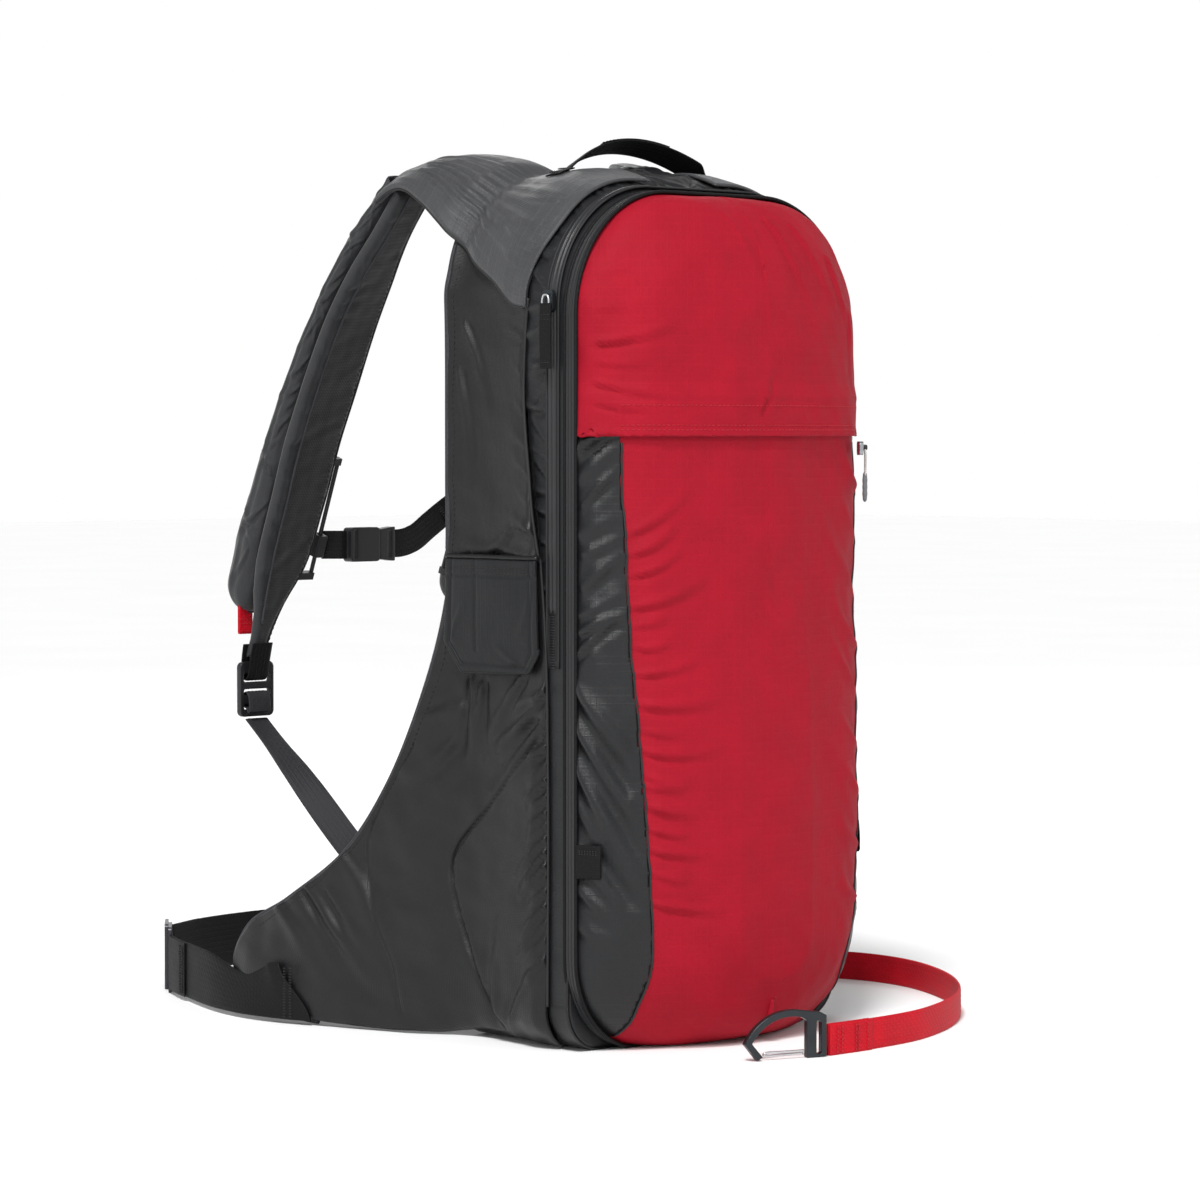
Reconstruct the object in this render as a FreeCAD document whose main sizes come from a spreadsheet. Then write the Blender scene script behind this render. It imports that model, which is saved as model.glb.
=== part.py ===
"""Ski backpack with a deployable airbag, a zip-on front section, hip fins, harness and leg loop.

Frame: +Z up, +X to the wearer's right, +Y towards the wearer's back. The origin is the centre of the
base patch that the pack stands on. Units are millimetres. Left and right pieces are mirror images.
"""
import FreeCAD, Part
import math
import os

from FreeCAD import Placement, Rotation, Vector

SIZES = {
    # the bag
    "bag_width": 250, "main_top": 560, "booster_top": 545, "base_level": 0, "corner_top": 80,
    "corner_base": 60, "main_corner_base": 28, "fabric": 1.6, "main_front": -56, "main_back": 45,
    "booster_back": -60,
    "hem_level": 390, "hem_height": 22,
    # closures
    "zip_tape": 1.5, "main_zip_y": -45, "main_zip_width": 11, "zip_low": 240, "slider_width": 9,
    "slider_height": 14, "slider_thick": 3.3, "pull_length": 46, "pull_width": 10, "pull_thick": 2,
    "slider_level": 468,
    # back system
    "sheet_width": 200, "sheet_height": 430, "sheet_thick": 1.5, "stay_width": 20, "stay_thick": 3,
    "stay_spread": 60, "pad_width": 88, "pad_thick": 13, "pad_low": 78, "pad_high": 496,
    # harness
    "strap_thick": 10, "webbing": 20, "webbing_thick": 1.8, "rail_radius": 1.5,
    "rail_length": 90, "lock_width": 30, "lock_height": 38, "lock_thick": 4.4, "belt_height": 38,
    "belt_thick": 2, "plate_height": 46, "plate_thick": 2.4, "handle_width": 20, "handle_thick": 2.2,
    "handle_span": 132, "handle_lean": 25, "flap_thick": 3.4, "flap_top": 312,
    # leg loop
    "leg_width": 20, "leg_thick": 2, "hook_thick": 5,
    # airbag system
    "fan_radius": 38, "fan_depth": 40, "fan_wall": 3, "blade_radius": 31, "hub_radius": 9,
    "blade_depth": 22, "blade_thick": 1.6, "battery_width": 76, "battery_depth": 24,
    "battery_height": 118, "controller_size": 58, "controller_depth": 16,
}

doc = FreeCAD.newDocument("SkiBackpack")
sheet = doc.addObject("Spreadsheet::Sheet", "Sizes")
for row, (alias, value) in enumerate(SIZES.items(), 1):
    sheet.set(f"A{row}", alias)
    sheet.set(f"B{row}", str(value))
    sheet.setAlias(f"B{row}", alias)
doc.recompute()
nodes = []


def size(alias):
    """The value of a cell of the sheet."""
    return float(sheet.get(alias))


def keep(obj, label):
    """Names a finished piece, so that it is written as a node."""
    obj.Label = label
    nodes.append(obj)
    return obj


# ---------------------------------------------------------------- helpers: sketches and bodies

def segments(points):
    """Line and arc geometry of a closed outline. A point given as (x, y, "via") is an arc's middle."""
    corners = [p for p in points if len(p) == 2]
    made = []
    start = corners[0]
    via = None
    for p in list(points[1:]) + [corners[0]]:
        if len(p) == 3:
            via = p
            continue
        a, b = Vector(*start, 0), Vector(*p, 0)
        if via:
            made.append(Part.Arc(a, Vector(via[0], via[1], 0), b))
        elif (a - b).Length > 1e-6:
            made.append(Part.LineSegment(a, b))
        start, via = p, None
    return made


PLANES = {"XY": "XY_Plane", "XZ": "XZ_Plane", "YZ": "YZ_Plane"}


def sketch_on(body, plane, outlines, start):
    """A sketch on one of the body's origin planes, moved along +Z, +Y or +X to where start says."""
    sk = body.newObject("Sketcher::SketchObject", "Sketch")
    role = PLANES[plane]
    flat = [f for f in body.Origin.OriginFeatures if f.Role == role][0]
    sk.AttachmentSupport = [(flat, "")]
    sk.MapMode = "FlatFace"
    sign = "-1" if plane == "XZ" else "1"
    sk.setExpression("AttachmentOffset.Base.z", f"{sign} * ({start})")
    for outline in outlines:
        for piece in segments(outline):
            sk.addGeometry(piece, False)
    return sk


def add_pad(body, plane, outlines, start, length, kind="PartDesign::Pad"):
    """Pads outlines from start towards +Z, +Y or +X by length; both are expressions."""
    sk = sketch_on(body, plane, outlines, start)
    pad = body.newObject(kind, "Pad")
    pad.Profile = sk
    pad.setExpression("Length", length)
    pad.Reversed = (plane == "XZ") == (kind == "PartDesign::Pad")
    doc.recompute()
    return pad


def pad_body(label, plane, outlines, start, length):
    """A one-pad body, kept as a node."""
    body = doc.addObject("PartDesign::Body", label)
    add_pad(body, plane, outlines, start, length)
    return keep(body, label)


def pocket(body, plane, outlines, start, length):
    """Cuts outlines out of a body and checks that something was cut."""
    before = body.Shape.Volume
    add_pad(body, plane, outlines, start, length, "PartDesign::Pocket")
    if body.Shape.Volume > before - 1e-3:
        raise RuntimeError(f"{body.Label}: a pocket cut nothing")


def rounded_rect(x0, x1, y0, y1, r):
    """A closed outline of a rectangle with rounded corners, for segments()."""
    k = r * (1 - math.sqrt(0.5))
    return [(x0 + r, y0), (x1 - r, y0), (x1 - k, y0 + k, "via"), (x1, y0 + r), (x1, y1 - r),
            (x1 - k, y1 - k, "via"), (x1 - r, y1), (x0 + r, y1), (x0 + k, y1 - k, "via"), (x0, y1 - r),
            (x0, y0 + r), (x0 + k, y0 + k, "via")]


def place(obj, x, y, z, turn_z=0.0, turn_x=0.0):
    """Puts a body at a point, turned about X first and then about Z."""
    obj.Placement = Placement(Vector(x, y, z), Rotation(Vector(0, 0, 1), turn_z)
                              .multiply(Rotation(Vector(1, 0, 0), turn_x)))
    return obj


def feature(label, shape):
    """A piece whose shape is worked out below, kept as a node."""
    obj = doc.addObject("Part::Feature", label)
    obj.Shape = shape
    return keep(obj, label)


def mirrored(shape):
    """The shape on the other side of the pack."""
    return shape.mirror(Vector(0, 0, 0), Vector(1, 0, 0))


def both_sides(stem, left_shape):
    """Makes the left and the right piece of a pair."""
    feature(stem + "_left", left_shape)
    feature(stem + "_right", mirrored(left_shape))


# ---------------------------------------------------------------- helpers: shapes

def face_of(points, plane, level):
    """A flat face on a row plane from an outline, at a level along the third axis."""
    to_plane = {"XY": lambda p: Vector(p[0], p[1], level), "XZ": lambda p: Vector(p[0], level, p[1]),
                "YZ": lambda p: Vector(level, p[0], p[1])}[plane]
    edges = []
    for s in segments(points):
        if isinstance(s, Part.LineSegment):
            edges.append(Part.makeLine(to_plane(s.StartPoint), to_plane(s.EndPoint)))
        else:
            middle = s.value((s.FirstParameter + s.LastParameter) / 2)
            arc = Part.Arc(to_plane(s.StartPoint), to_plane(middle), to_plane(s.EndPoint))
            edges.append(arc.toShape())
    return Part.Face(Part.Wire(Part.__sortEdges__(edges)))


def prism(points, plane, low, high):
    """The outline swept along the third axis from low to high."""
    way = {"XY": Vector(0, 0, high - low), "XZ": Vector(0, high - low, 0), "YZ": Vector(high - low, 0, 0)}
    return face_of(points, plane, low).extrude(way[plane])


def block(x0, x1, y0, y1, z0, z1):
    return Part.makeBox(x1 - x0, y1 - y0, z1 - z0, Vector(x0, y0, z0))


def band(points, thickness, plane, low, high):
    """A strip of even thickness along a smooth line of points, extruded along the third axis."""
    line = Part.BSplineCurve()
    line.interpolate([Vector(*p, 0) for p in points])
    sides = []
    for side in (0.0, thickness):
        offset_points = []
        for p in points:
            t = line.tangent(line.parameter(Vector(*p, 0)))[0]
            offset_points.append(Vector(*p, 0) + Vector(-t.y, t.x, 0) * side)
        sides.append(offset_points)
    to_plane = {"XY": lambda p: Vector(p.x, p.y, low), "XZ": lambda p: Vector(p.x, low, p.y),
                "YZ": lambda p: Vector(low, p.x, p.y)}[plane]
    curves = []
    for offset_points in sides:
        c = Part.BSplineCurve()
        c.interpolate([to_plane(p) for p in offset_points])
        curves.append(c.toShape())
    a, b = [to_plane(p) for p in sides[0]], [to_plane(p) for p in sides[1]]
    wire = Part.Wire([curves[0], Part.makeLine(a[-1], b[-1]), curves[1], Part.makeLine(b[0], a[0])])
    way = {"XY": Vector(0, 0, high - low), "XZ": Vector(0, high - low, 0), "YZ": Vector(high - low, 0, 0)}
    return Part.Face(wire).extrude(way[plane])


def ruled_loft(wires):
    return Part.makeLoft(wires, True, True)


# ---------------------------------------------------------------- the bag's outer forms

def outline_of(half, low, high, top_radius, base_radius):
    """A front-view outline with rounded corners, for segments()."""
    kt, kb = top_radius * (1 - math.sqrt(0.5)), base_radius * (1 - math.sqrt(0.5))
    return [(-half, low + base_radius), (-half + kb, low + kb, "via"), (-half + base_radius, low),
            (half - base_radius, low), (half - kb, low + kb, "via"), (half, low + base_radius),
            (half, high - top_radius), (half - kt, high - kt, "via"), (half - top_radius, high),
            (-half + top_radius, high), (-half + kt, high - kt, "via"), (-half, high - top_radius)]


def front_outline(top, inset=0.0, base="corner_base"):
    """The bag seen from the front; inset moves the outline inwards."""
    return outline_of(size("bag_width") / 2 - inset, size("base_level") + inset, top - inset,
                      size("corner_top") - inset, size(base) - inset)


def main_form(inset=0.0, y0=None, y1=None):
    """The main compartment: its top slopes down to the front section, which is lower."""
    y0 = size("main_front") if y0 is None else y0
    y1 = size("main_back") if y1 is None else y1
    low, high = size("booster_top") - inset, size("main_top") - inset
    side = [(y0, -5), (y1, -5), (y1, high - 2), (-12, high), (y0, low)]
    front = prism(front_outline(size("main_top"), inset, "main_corner_base"), "XZ", y0, y1)
    return front.common(prism(side, "YZ", -200, 200))


# Sections of the front section, as distances from its back: how far the sides, the top and the base
# have drawn in, and the corner radii at the top and the base.
PILLOW = [(0, 0, 0, 0, 80, 60), (18, 4, 2, 0, 82, 64), (33, 18, 9, 1, 84, 70), (45, 33, 20, 4, 78, 66),
          (55, 62, 40, 13, 60, 52), (61, 92, 74, 36, 30, 28)]


def booster_form(inset=0.0, back=None):
    """The zip-on front section: a pillow that is fullest down the middle of its front."""
    start = size("booster_back")
    half, top, base = size("bag_width") / 2 - inset, size("booster_top") - inset, size("base_level") + inset
    levels = [] if back is None else [(back, 0, 0, 0, 80, 60)]
    levels += [(start - depth, *rest) for depth, *rest in PILLOW[:-1]]
    depth, *rest = PILLOW[-1]
    levels.append((start - depth + inset, *rest))
    wires = []
    for y, side, drop, lift, top_radius, base_radius in levels:
        outline = outline_of(half - side, base + lift, top - drop, top_radius - inset, base_radius - inset)
        wires.append(face_of(outline, "XZ", y).OuterWire)
    return ruled_loft(wires)


def red_outline():
    """Front-view outline of the lower coloured panel; it narrows towards the base."""
    half = [(112, size("hem_level") + 40), (112, size("hem_level")), (88, 100), (82, 50), (80, -5)]
    return half + [(-x, z) for x, z in reversed(half)]


def make_bag():
    wall, back, front = size("fabric"), size("main_back"), size("main_front")
    ring = main_form().cut(main_form(wall, front - 20, back + 20))
    top_spring = size("main_top") - size("corner_top")
    base_spring = size("base_level") + size("main_corner_base")
    feature("top_panel", ring.common(block(-200, 200, -200, 200, top_spring, 700)))
    for side, x0 in (("left", "-Sizes.bag_width / 2"), ("right", "Sizes.bag_width / 2 - Sizes.fabric")):
        panel = doc.addObject("Part::Box", "side_panel_" + side)
        panel.setExpression("Length", "Sizes.fabric")
        panel.setExpression("Width", "Sizes.main_back - Sizes.main_front")
        panel.setExpression("Height", "Sizes.main_top - Sizes.corner_top"
                                      " - Sizes.base_level - Sizes.main_corner_base")
        panel.setExpression(".Placement.Base.x", x0)
        panel.setExpression(".Placement.Base.y", "Sizes.main_front")
        panel.setExpression(".Placement.Base.z", "Sizes.base_level + Sizes.main_corner_base")
        keep(panel, "side_panel_" + side)
    feature("base_panel", ring.common(block(-200, 200, -200, 200, -10, base_spring)))
    pad_body("divider_panel", "XZ", [front_outline(size("booster_top"))], "Sizes.main_front - 2", "1.8")
    back_outline = front_outline(size("main_top") - 2, 0, "main_corner_base")
    pad_body("back_panel", "XZ", [back_outline], "Sizes.main_back + 0.1", "Sizes.fabric")


def make_front_section():
    """The upper panel's hem hangs over the pocket's zip; below are a coloured panel and two gussets."""
    wall, hem, fold = size("fabric"), size("hem_level"), size("hem_height")
    shell = booster_form().cut(booster_form(wall, size("booster_back") + 20))
    top_edge = hem + fold - 8
    upper = shell.common(block(-200, 200, -200, 0, top_edge, 700))
    lip = 2.6
    flap_zone = block(-200, 200, -200, -66.5, hem, hem + fold)
    fold_zone = block(-200, 200, -200, -66.5, top_edge, hem + fold)
    flap = booster_form(-lip, -40).cut(booster_form(-lip + wall, -20)).common(flap_zone)
    fold_over = booster_form(-lip, -40).cut(booster_form(wall / 2, -20)).common(fold_zone)
    feature("front_upper_panel", upper.fuse([flap, fold_over]).removeSplitter())

    lower = shell.common(block(-200, 200, -200, 0, -10, top_edge - 0.3))
    colour = prism(red_outline(), "XZ", -200, size("booster_back") - 10)
    feature("front_lower_panel", lower.common(colour))
    rest = lower.cut(colour)
    feature("front_gusset_left", rest.common(block(-200, 0, -200, 0, -10, 700)))
    feature("front_gusset_right", rest.common(block(0, 200, -200, 0, -10, 700)))


def make_zips():
    width, y, thick = size("main_zip_width"), size("main_zip_y"), size("zip_tape")
    tape = main_form(-thick, -55, 44).cut(main_form(-0.05, -60, 50))
    run = block(-200, 200, y - width / 2, y + width / 2, size("zip_low"), 700)
    feature("main_zip_tape", tape.common(run))
    outline = size("booster_top")
    ring = doc.addObject("PartDesign::Body", "booster_zip_tape")
    add_pad(ring, "XZ", [front_outline(outline, -1.6), front_outline(outline, -0.1)],
            "Sizes.booster_back - 6", "9.5")
    below_base = [(-200, -10), (200, -10), (200, 0.05), (-200, 0.05)]
    pocket(ring, "XZ", [below_base], "Sizes.booster_back - 10", "20")
    keep(ring, "booster_zip_tape")
    hem = size("hem_level")
    zip_strip = booster_form(-0.9, -50).cut(booster_form(-0.1, -40))
    feature("pocket_zip_tape", zip_strip.common(block(-92, 92, -200, -80, hem + 1, hem + 12)))

    level, height = size("slider_level"), size("slider_height")
    slider_w, slider_t = size("slider_width"), size("slider_thick")
    x_in = size("bag_width") / 2 + thick + 0.3
    pull_half, pull_t = size("pull_width") / 2, size("pull_thick")
    pull_top = level + height - 3.6
    for side, sign in (("left", -1), ("right", 1)):
        outline = rounded_rect(y - slider_w / 2, y + slider_w / 2, level, level + height, 3)
        start = x_in if sign > 0 else -x_in - slider_t
        pad_body("main_zip_slider_" + side, "YZ", [outline], str(start), "Sizes.slider_thick")
        pull = rounded_rect(y - pull_half, y + pull_half, pull_top - size("pull_length"), pull_top, 1.8)
        start = x_in + slider_t + 0.6
        start = start if sign > 0 else -start - pull_t
        pad_body("main_zip_pull_" + side, "YZ", [pull], str(start), "Sizes.pull_thick")


def make_pocket_pull():
    """The pocket zip's slider at the right end of its zip, with a cord pull hanging from it."""
    level = size("hem_level") - 8
    facing = 51.3
    out = Rotation(Vector(0, 0, 1), facing).multVec(Vector(0, -1, 0))
    at = Vector(99.5, -99, level) + out * 4.1
    pad_body("pocket_zip_slider", "XZ", [rounded_rect(-6, 6, -4.5, 4.5, 2.5)], "0", "2.6")
    place(nodes[-1], at.x, at.y, at.z, facing)
    at = at + out * 3.0
    pull = doc.addObject("PartDesign::Body", "pocket_zip_pull")
    add_pad(pull, "XZ", [rounded_rect(-2.6, 2.6, -36, 2.0, 2.4)], "0", "2.2")
    pocket(pull, "XZ", [rounded_rect(-1.3, 1.3, -16, 0.6, 1.2)], "-5", "12")
    place(keep(pull, "pocket_zip_pull"), at.x, at.y, at.z, facing)


# ---------------------------------------------------------------- hip fins, yokes and side flap

def fin_sections():
    """Sections of the left hip fin along Y: y, centre x, thickness, lowest z, highest z."""
    return [(-38, -126.5, 2.4, 0.6, 306), (44, -126.5, 2.4, 0.6, 306), (50, -128.0, 5, 0.6, 294),
            (56, -130.0, 7, 0.6, 266), (67, -132.5, 8, 0.6, 226), (94, -139.0, 10, 0.8, 166),
            (124, -148.0, 12, 1.5, 120), (170, -160.0, 12, 4, 84), (205, -163.0, 10, 12, 68),
            (221, -162.0, 6, 26, 50)]


def yoke_sections():
    """Sections of the left yoke along Y: y, then the inner, middle and outer point of its top line."""
    return [(46.9, (-42, 562), (-112, 527), (-131, 446)), (62, (-44, 568), (-104, 548), (-127, 503)),
            (85, (-54, 571), (-98, 562), (-121, 534)), (111.8, (-74, 567), (-94, 563), (-114, 550))]


def make_side_pieces():
    fin = []
    for y, xc, t, z0, z1 in fin_sections():
        corners = [Vector(xc - t / 2, y, z0), Vector(xc + t / 2, y, z0), Vector(xc + t / 2, y, z1),
                   Vector(xc - t / 2, y, z1)]
        fin.append(Part.makePolygon(corners + corners[:1]))
    both_sides("hip_fin", ruled_loft(fin))

    yoke = []
    thickness = 5.0
    for y, a, m, b in yoke_sections():
        centre_pull = [(p[0] + 0.7 * thickness, p[1] - 0.7 * thickness) for p in (a, m, b)]
        outer = Part.Arc(*[Vector(p[0], y, p[1]) for p in (a, m, b)]).toShape()
        inner = Part.Arc(*[Vector(p[0], y, p[1]) for p in centre_pull]).toShape()
        start = Part.makeLine(inner.Vertexes[0].Point, outer.Vertexes[0].Point)
        end = Part.makeLine(outer.Vertexes[-1].Point, inner.Vertexes[-1].Point)
        yoke.append(Part.Wire([start, outer, end, inner]))
    both_sides("shoulder_yoke", ruled_loft(yoke))

    top, outer_x = size("flap_top"), size("bag_width") / 2 + 5.8 + size("flap_thick")
    flap = [(-35, top), (47, top), (49, 258), (32, 238), (-26, 240), (-37, 253)]
    pad_body("airbag_flap", "YZ", [flap], str(-outer_x), "Sizes.flap_thick")


# ---------------------------------------------------------------- shoulder straps

STRAP_LINE = [(112.5, 548), (136, 521.5), (162, 494), (182, 468), (198, 441), (212, 414), (225, 387),
              (240.5, 346), (256, 305), (265, 274), (271, 249), (274, 236)]
RAIL_WAY = Vector(0, 0.3536, -0.9354)
STRAP_OUT = Vector(0, 0.9354, 0.3536)


def strap_front():
    """Front view of the left strap: it is widest at the chest and narrows to the adjuster."""
    return [(-114, 600), (-114, 232), (-98, 232), (-90, 272), (-76, 300), (-70, 380), (-68, 440),
            (-74, 495), (-84, 525), (-84, 600)]


def make_straps():
    pad = band(STRAP_LINE, size("strap_thick"), "YZ", -114, -60)
    pad = pad.common(prism(strap_front(), "XZ", 0, 400))
    pad = pad.common(block(-200, 0, 112, 400, 236, 600))
    both_sides("shoulder_strap", pad)

    # the sleeve on the strap's outer face starts thin at the shoulder and is fullest at its lower end
    thick = size("strap_thick")
    way = STRAP_LINE[:10]
    line = Part.BSplineCurve()
    line.interpolate([Vector(*p, 0) for p in STRAP_LINE])
    swell = [6, 13, 13, 13, 15, 18, 20, 25, 30, 22]
    inner, outer = [], []
    for p, s in zip(way, swell):
        t = line.tangent(line.parameter(Vector(*p, 0)))[0]
        out = Vector(0, -t.y, t.x)
        at = Vector(-78, *p)
        inner.append(at + out * (thick + 0.4))
        outer.append(at + out * (thick + 0.4 + s))
    a, b = Part.BSplineCurve(), Part.BSplineCurve()
    a.interpolate(inner)
    b.interpolate(outer)
    ends = [Part.makeLine(inner[-1], outer[-1]), Part.makeLine(outer[0], inner[0])]
    sleeve = Part.Face(Part.Wire([a.toShape(), ends[0], b.toShape(), ends[1]])).extrude(Vector(-36, 0, 0))
    sleeve = sleeve.cut(block(-200, 0, 0, 113, 400, 700))
    slot = block(-111.5, -95.5, 280.5, 292, 200, 345)
    feature("strap_sleeve_left", sleeve.cut(slot))
    feature("strap_sleeve_right", mirrored(sleeve))
    tab = Part.makeBox(12, 2.6, 66, Vector(-109.5, 285.5, 252))
    feature("trigger_tab", tab)


def make_adjusters():
    """Ladder locks at the straps' ends and the webbing that runs from them to the pack's base."""
    w, h = size("lock_width") / 2, size("lock_height")
    for side, sign in (("left", -1), ("right", 1)):
        x = sign * 103
        body = doc.addObject("PartDesign::Body", "ladder_lock_" + side)
        add_pad(body, "XZ", [rounded_rect(-w, w, 0, h, 4)], "0", "Sizes.lock_thick")
        for z0, z1 in ((5, 9), (15, 19), (24, 30)):
            pocket(body, "XZ", [rounded_rect(-w + 3.5, w - 3.5, z0, z1, 1)], "-2", "10")
        place(keep(body, "ladder_lock_" + side), x, 274.5, 196)

        top, foot = Vector(x, 275, 194), Vector(sign * 106, 66, 34)
        half, thick = size("webbing") / 2, size("webbing_thick")
        along = (foot - top).normalize()
        normal = along.cross(Vector(1, 0, 0)).normalize()
        wires = []
        for p in (top, foot):
            c = [p + Vector(dx, 0, 0) + normal * dn for dx, dn in
                 ((-half, 0), (half, 0), (half, thick), (-half, thick))]
            wires.append(Part.makePolygon(c + c[:1]))
        feature("adjust_webbing_" + side, ruled_loft(wires))


def make_sternum():
    """Rails on the straps, and the chest strap with its buckle that slides on them."""
    d = RAIL_WAY
    base = Vector(0, 246.2, 331) + STRAP_OUT * (size("strap_thick") / 2)
    radius, length = size("rail_radius"), size("rail_length")
    low, high = 20.0, -8.0
    rail_x, post_size, bury = 62.0, 5.0, 1.5
    turn = Rotation(Vector(0, 0, 1), d)
    for side, sign in (("left", -1), ("right", 1)):
        start = Vector(sign * rail_x, base.y, base.z) - d * (length / 2)
        rail = Part.makeCylinder(radius, length - 2 * bury, start + d * bury, d)
        for along, post_length in ((post_size / 2, 9.4), (length - post_size / 2, 16.8)):
            post = Part.makeBox(post_length, post_size, post_size)
            post.Placement = Placement(Vector(0, 0, 0), turn)
            centre = start + d * along + Vector(sign * (post_length / 2 - 1.2), 0, 0)
            post.translate(centre - post.CenterOfMass)
            rail = rail.fuse(post)
        feature("sternum_rail_" + side, rail)

        at = start + d * (length / 2 + (low if sign < 0 else high))
        clip = Part.makeBox(8, 9, 16)
        clip.Placement = Placement(Vector(0, 0, 0), turn)
        clip.translate(at - clip.CenterOfMass)
        clip = clip.cut(Part.makeCylinder(radius + 0.35, length, start, d))
        feature("sternum_clip_" + side, clip)

    left, right = base + d * low, base + d * high
    mid_y = left.y - 8
    female = doc.addObject("PartDesign::Body", "sternum_buckle_socket")
    add_pad(female, "XZ", [rounded_rect(0, 27, -12, 12, 3)], "0", "9")
    pocket(female, "XZ", [rounded_rect(3, 6.5, -10.5, 10.5, 1)], "-5", "20")
    pocket(female, "XZ", [rounded_rect(11, 27.5, -9, 9, 0.4)], "2.2", "4.6")
    place(keep(female, "sternum_buckle_socket"), -42, mid_y - 4.5, left.z)
    male = doc.addObject("PartDesign::Body", "sternum_buckle_plug")
    add_pad(male, "XZ", [[(0, -10.5), (12, -12), (14, -12), (14, 12), (12, 12), (0, 10.5)]], "0", "8")
    add_pad(male, "XZ", [rounded_rect(-14, 0.5, -8.4, 8.4, 2)], "1.9", "4")
    pocket(male, "XZ", [rounded_rect(7.5, 11, -9.5, 9.5, 0.8)], "-5", "20")
    place(keep(male, "sternum_buckle_plug"), -14.6, mid_y - 4, left.z)

    strap_l = band([(-57, left.y + 2), (-50, left.y - 4), (-43.2, mid_y - 0.8)], 1.6, "XY",
                   left.z - 10, left.z + 10)
    feature("sternum_webbing_left", strap_l)
    points = [Vector(0.6, mid_y - 0.8, left.z), Vector(18, mid_y, left.z + 1),
              Vector(38, mid_y + 3, (left.z + right.z) / 2), Vector(57, right.y + 1, right.z)]
    wires = []
    for p in points:
        c = [p + Vector(0, dy, dz) for dy, dz in ((0, -10), (1.6, -10), (1.6, 10), (0, 10))]
        wires.append(Part.makePolygon(c + c[:1]))
    feature("sternum_webbing_right", ruled_loft(wires))


# ---------------------------------------------------------------- hip belt

BELT_LEFT = [(-158.5, 136), (-169, 172), (-171.5, 205), (-169, 232), (-160, 268), (-147, 303), (-133, 333)]
BELT_RIGHT = [(159.5, 136), (170, 172), (172.5, 205), (170, 232), (161, 275), (142, 320), (110, 362),
              (62, 392), (0, 404), (-55, 396), (-95.5, 380)]


def make_hip_belt():
    z0, height, thick = 3.0, size("belt_height"), size("belt_thick")
    left = band(BELT_LEFT, thick, "XY", z0, z0 + height)
    right = band([(-x, y) for x, y in BELT_RIGHT][::-1], thick, "XY", z0, z0 + height)
    feature("hip_webbing_left", left)
    feature("hip_webbing_right", mirrored(right))

    # two plates hook together; u runs along the belt and v points outwards
    t, h = size("plate_thick"), size("plate_height")
    turn = math.degrees(math.atan2(43, 35))
    frame = doc.addObject("PartDesign::Body", "hip_buckle_frame")
    add_pad(frame, "XZ", [rounded_rect(0, 33, 0, h, 3)], "0", "Sizes.plate_thick")
    pocket(frame, "XZ", [rounded_rect(4, 8, 4, h - 4, 1)], "-2", "8")
    pocket(frame, "XZ", [rounded_rect(19, 27, 9, h - 9, 1.5)], "-2", "8")
    place(keep(frame, "hip_buckle_frame"), -132.2, 334, 0.4, turn_z=turn)
    hook = doc.addObject("PartDesign::Body", "hip_buckle_hook")
    add_pad(hook, "XZ", [rounded_rect(18, 52, 0, h, 3)], "Sizes.plate_thick + 0.4", "Sizes.plate_thick")
    pocket(hook, "XZ", [rounded_rect(44, 48, 4, h - 4, 1)], "0", "12")
    add_pad(hook, "XZ", [rounded_rect(21, 24, 12, h - 12, 0.5)], "-2.5", "Sizes.plate_thick + 4")
    place(keep(hook, "hip_buckle_hook"), -132.2, 334, 0.4, turn_z=turn)


# ---------------------------------------------------------------- grab handle, small webbing parts

def make_handle():
    """An arch of webbing that narrows at its ends, so that it can tip over the top panel."""
    span, half, t, rise = size("handle_span") / 2, size("handle_width") / 2, size("handle_thick"), 20.5
    arch = [(-span, 0), (0, rise + t, "via"), (span, 0), (span - t, 0), (0, rise, "via"), (-span + t, 0)]
    side = [(-3, -1), (3, -1), (3, 0), (half, 8), (half, 40), (-half, 40), (-half, 8), (-3, 0)]
    handle = prism(arch, "XZ", -half, half).common(prism(side, "YZ", -span, span))
    obj = feature("grab_handle", handle)
    obj.Placement = Placement(Vector(0, 6, size("main_top") + 0.9),
                              Rotation(Vector(1, 0, 0), -size("handle_lean")))


def make_tool_loops():
    """A short tab of webbing on each gusset of the front section."""
    loops = []
    for sign in (-1, 1):
        tab = Part.makeBox(2, 17, 22, Vector(-1, -8.5, 0))
        tab.Placement = Placement(Vector(sign * 123.5, -75.6, 112), Rotation(Vector(0, 0, 1), -sign * 22))
        loops.append(tab)
    feature("tool_loops", Part.makeCompound(loops))


# ---------------------------------------------------------------- leg loop

LEG_ROUTE = [(156.0, 131.0), (197, 115), (238, 88), (262, 48), (262, 1), (243, -45), (212, -91),
             (170, -132), (116, -163), (54, -181), (-11, -176)]


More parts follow.
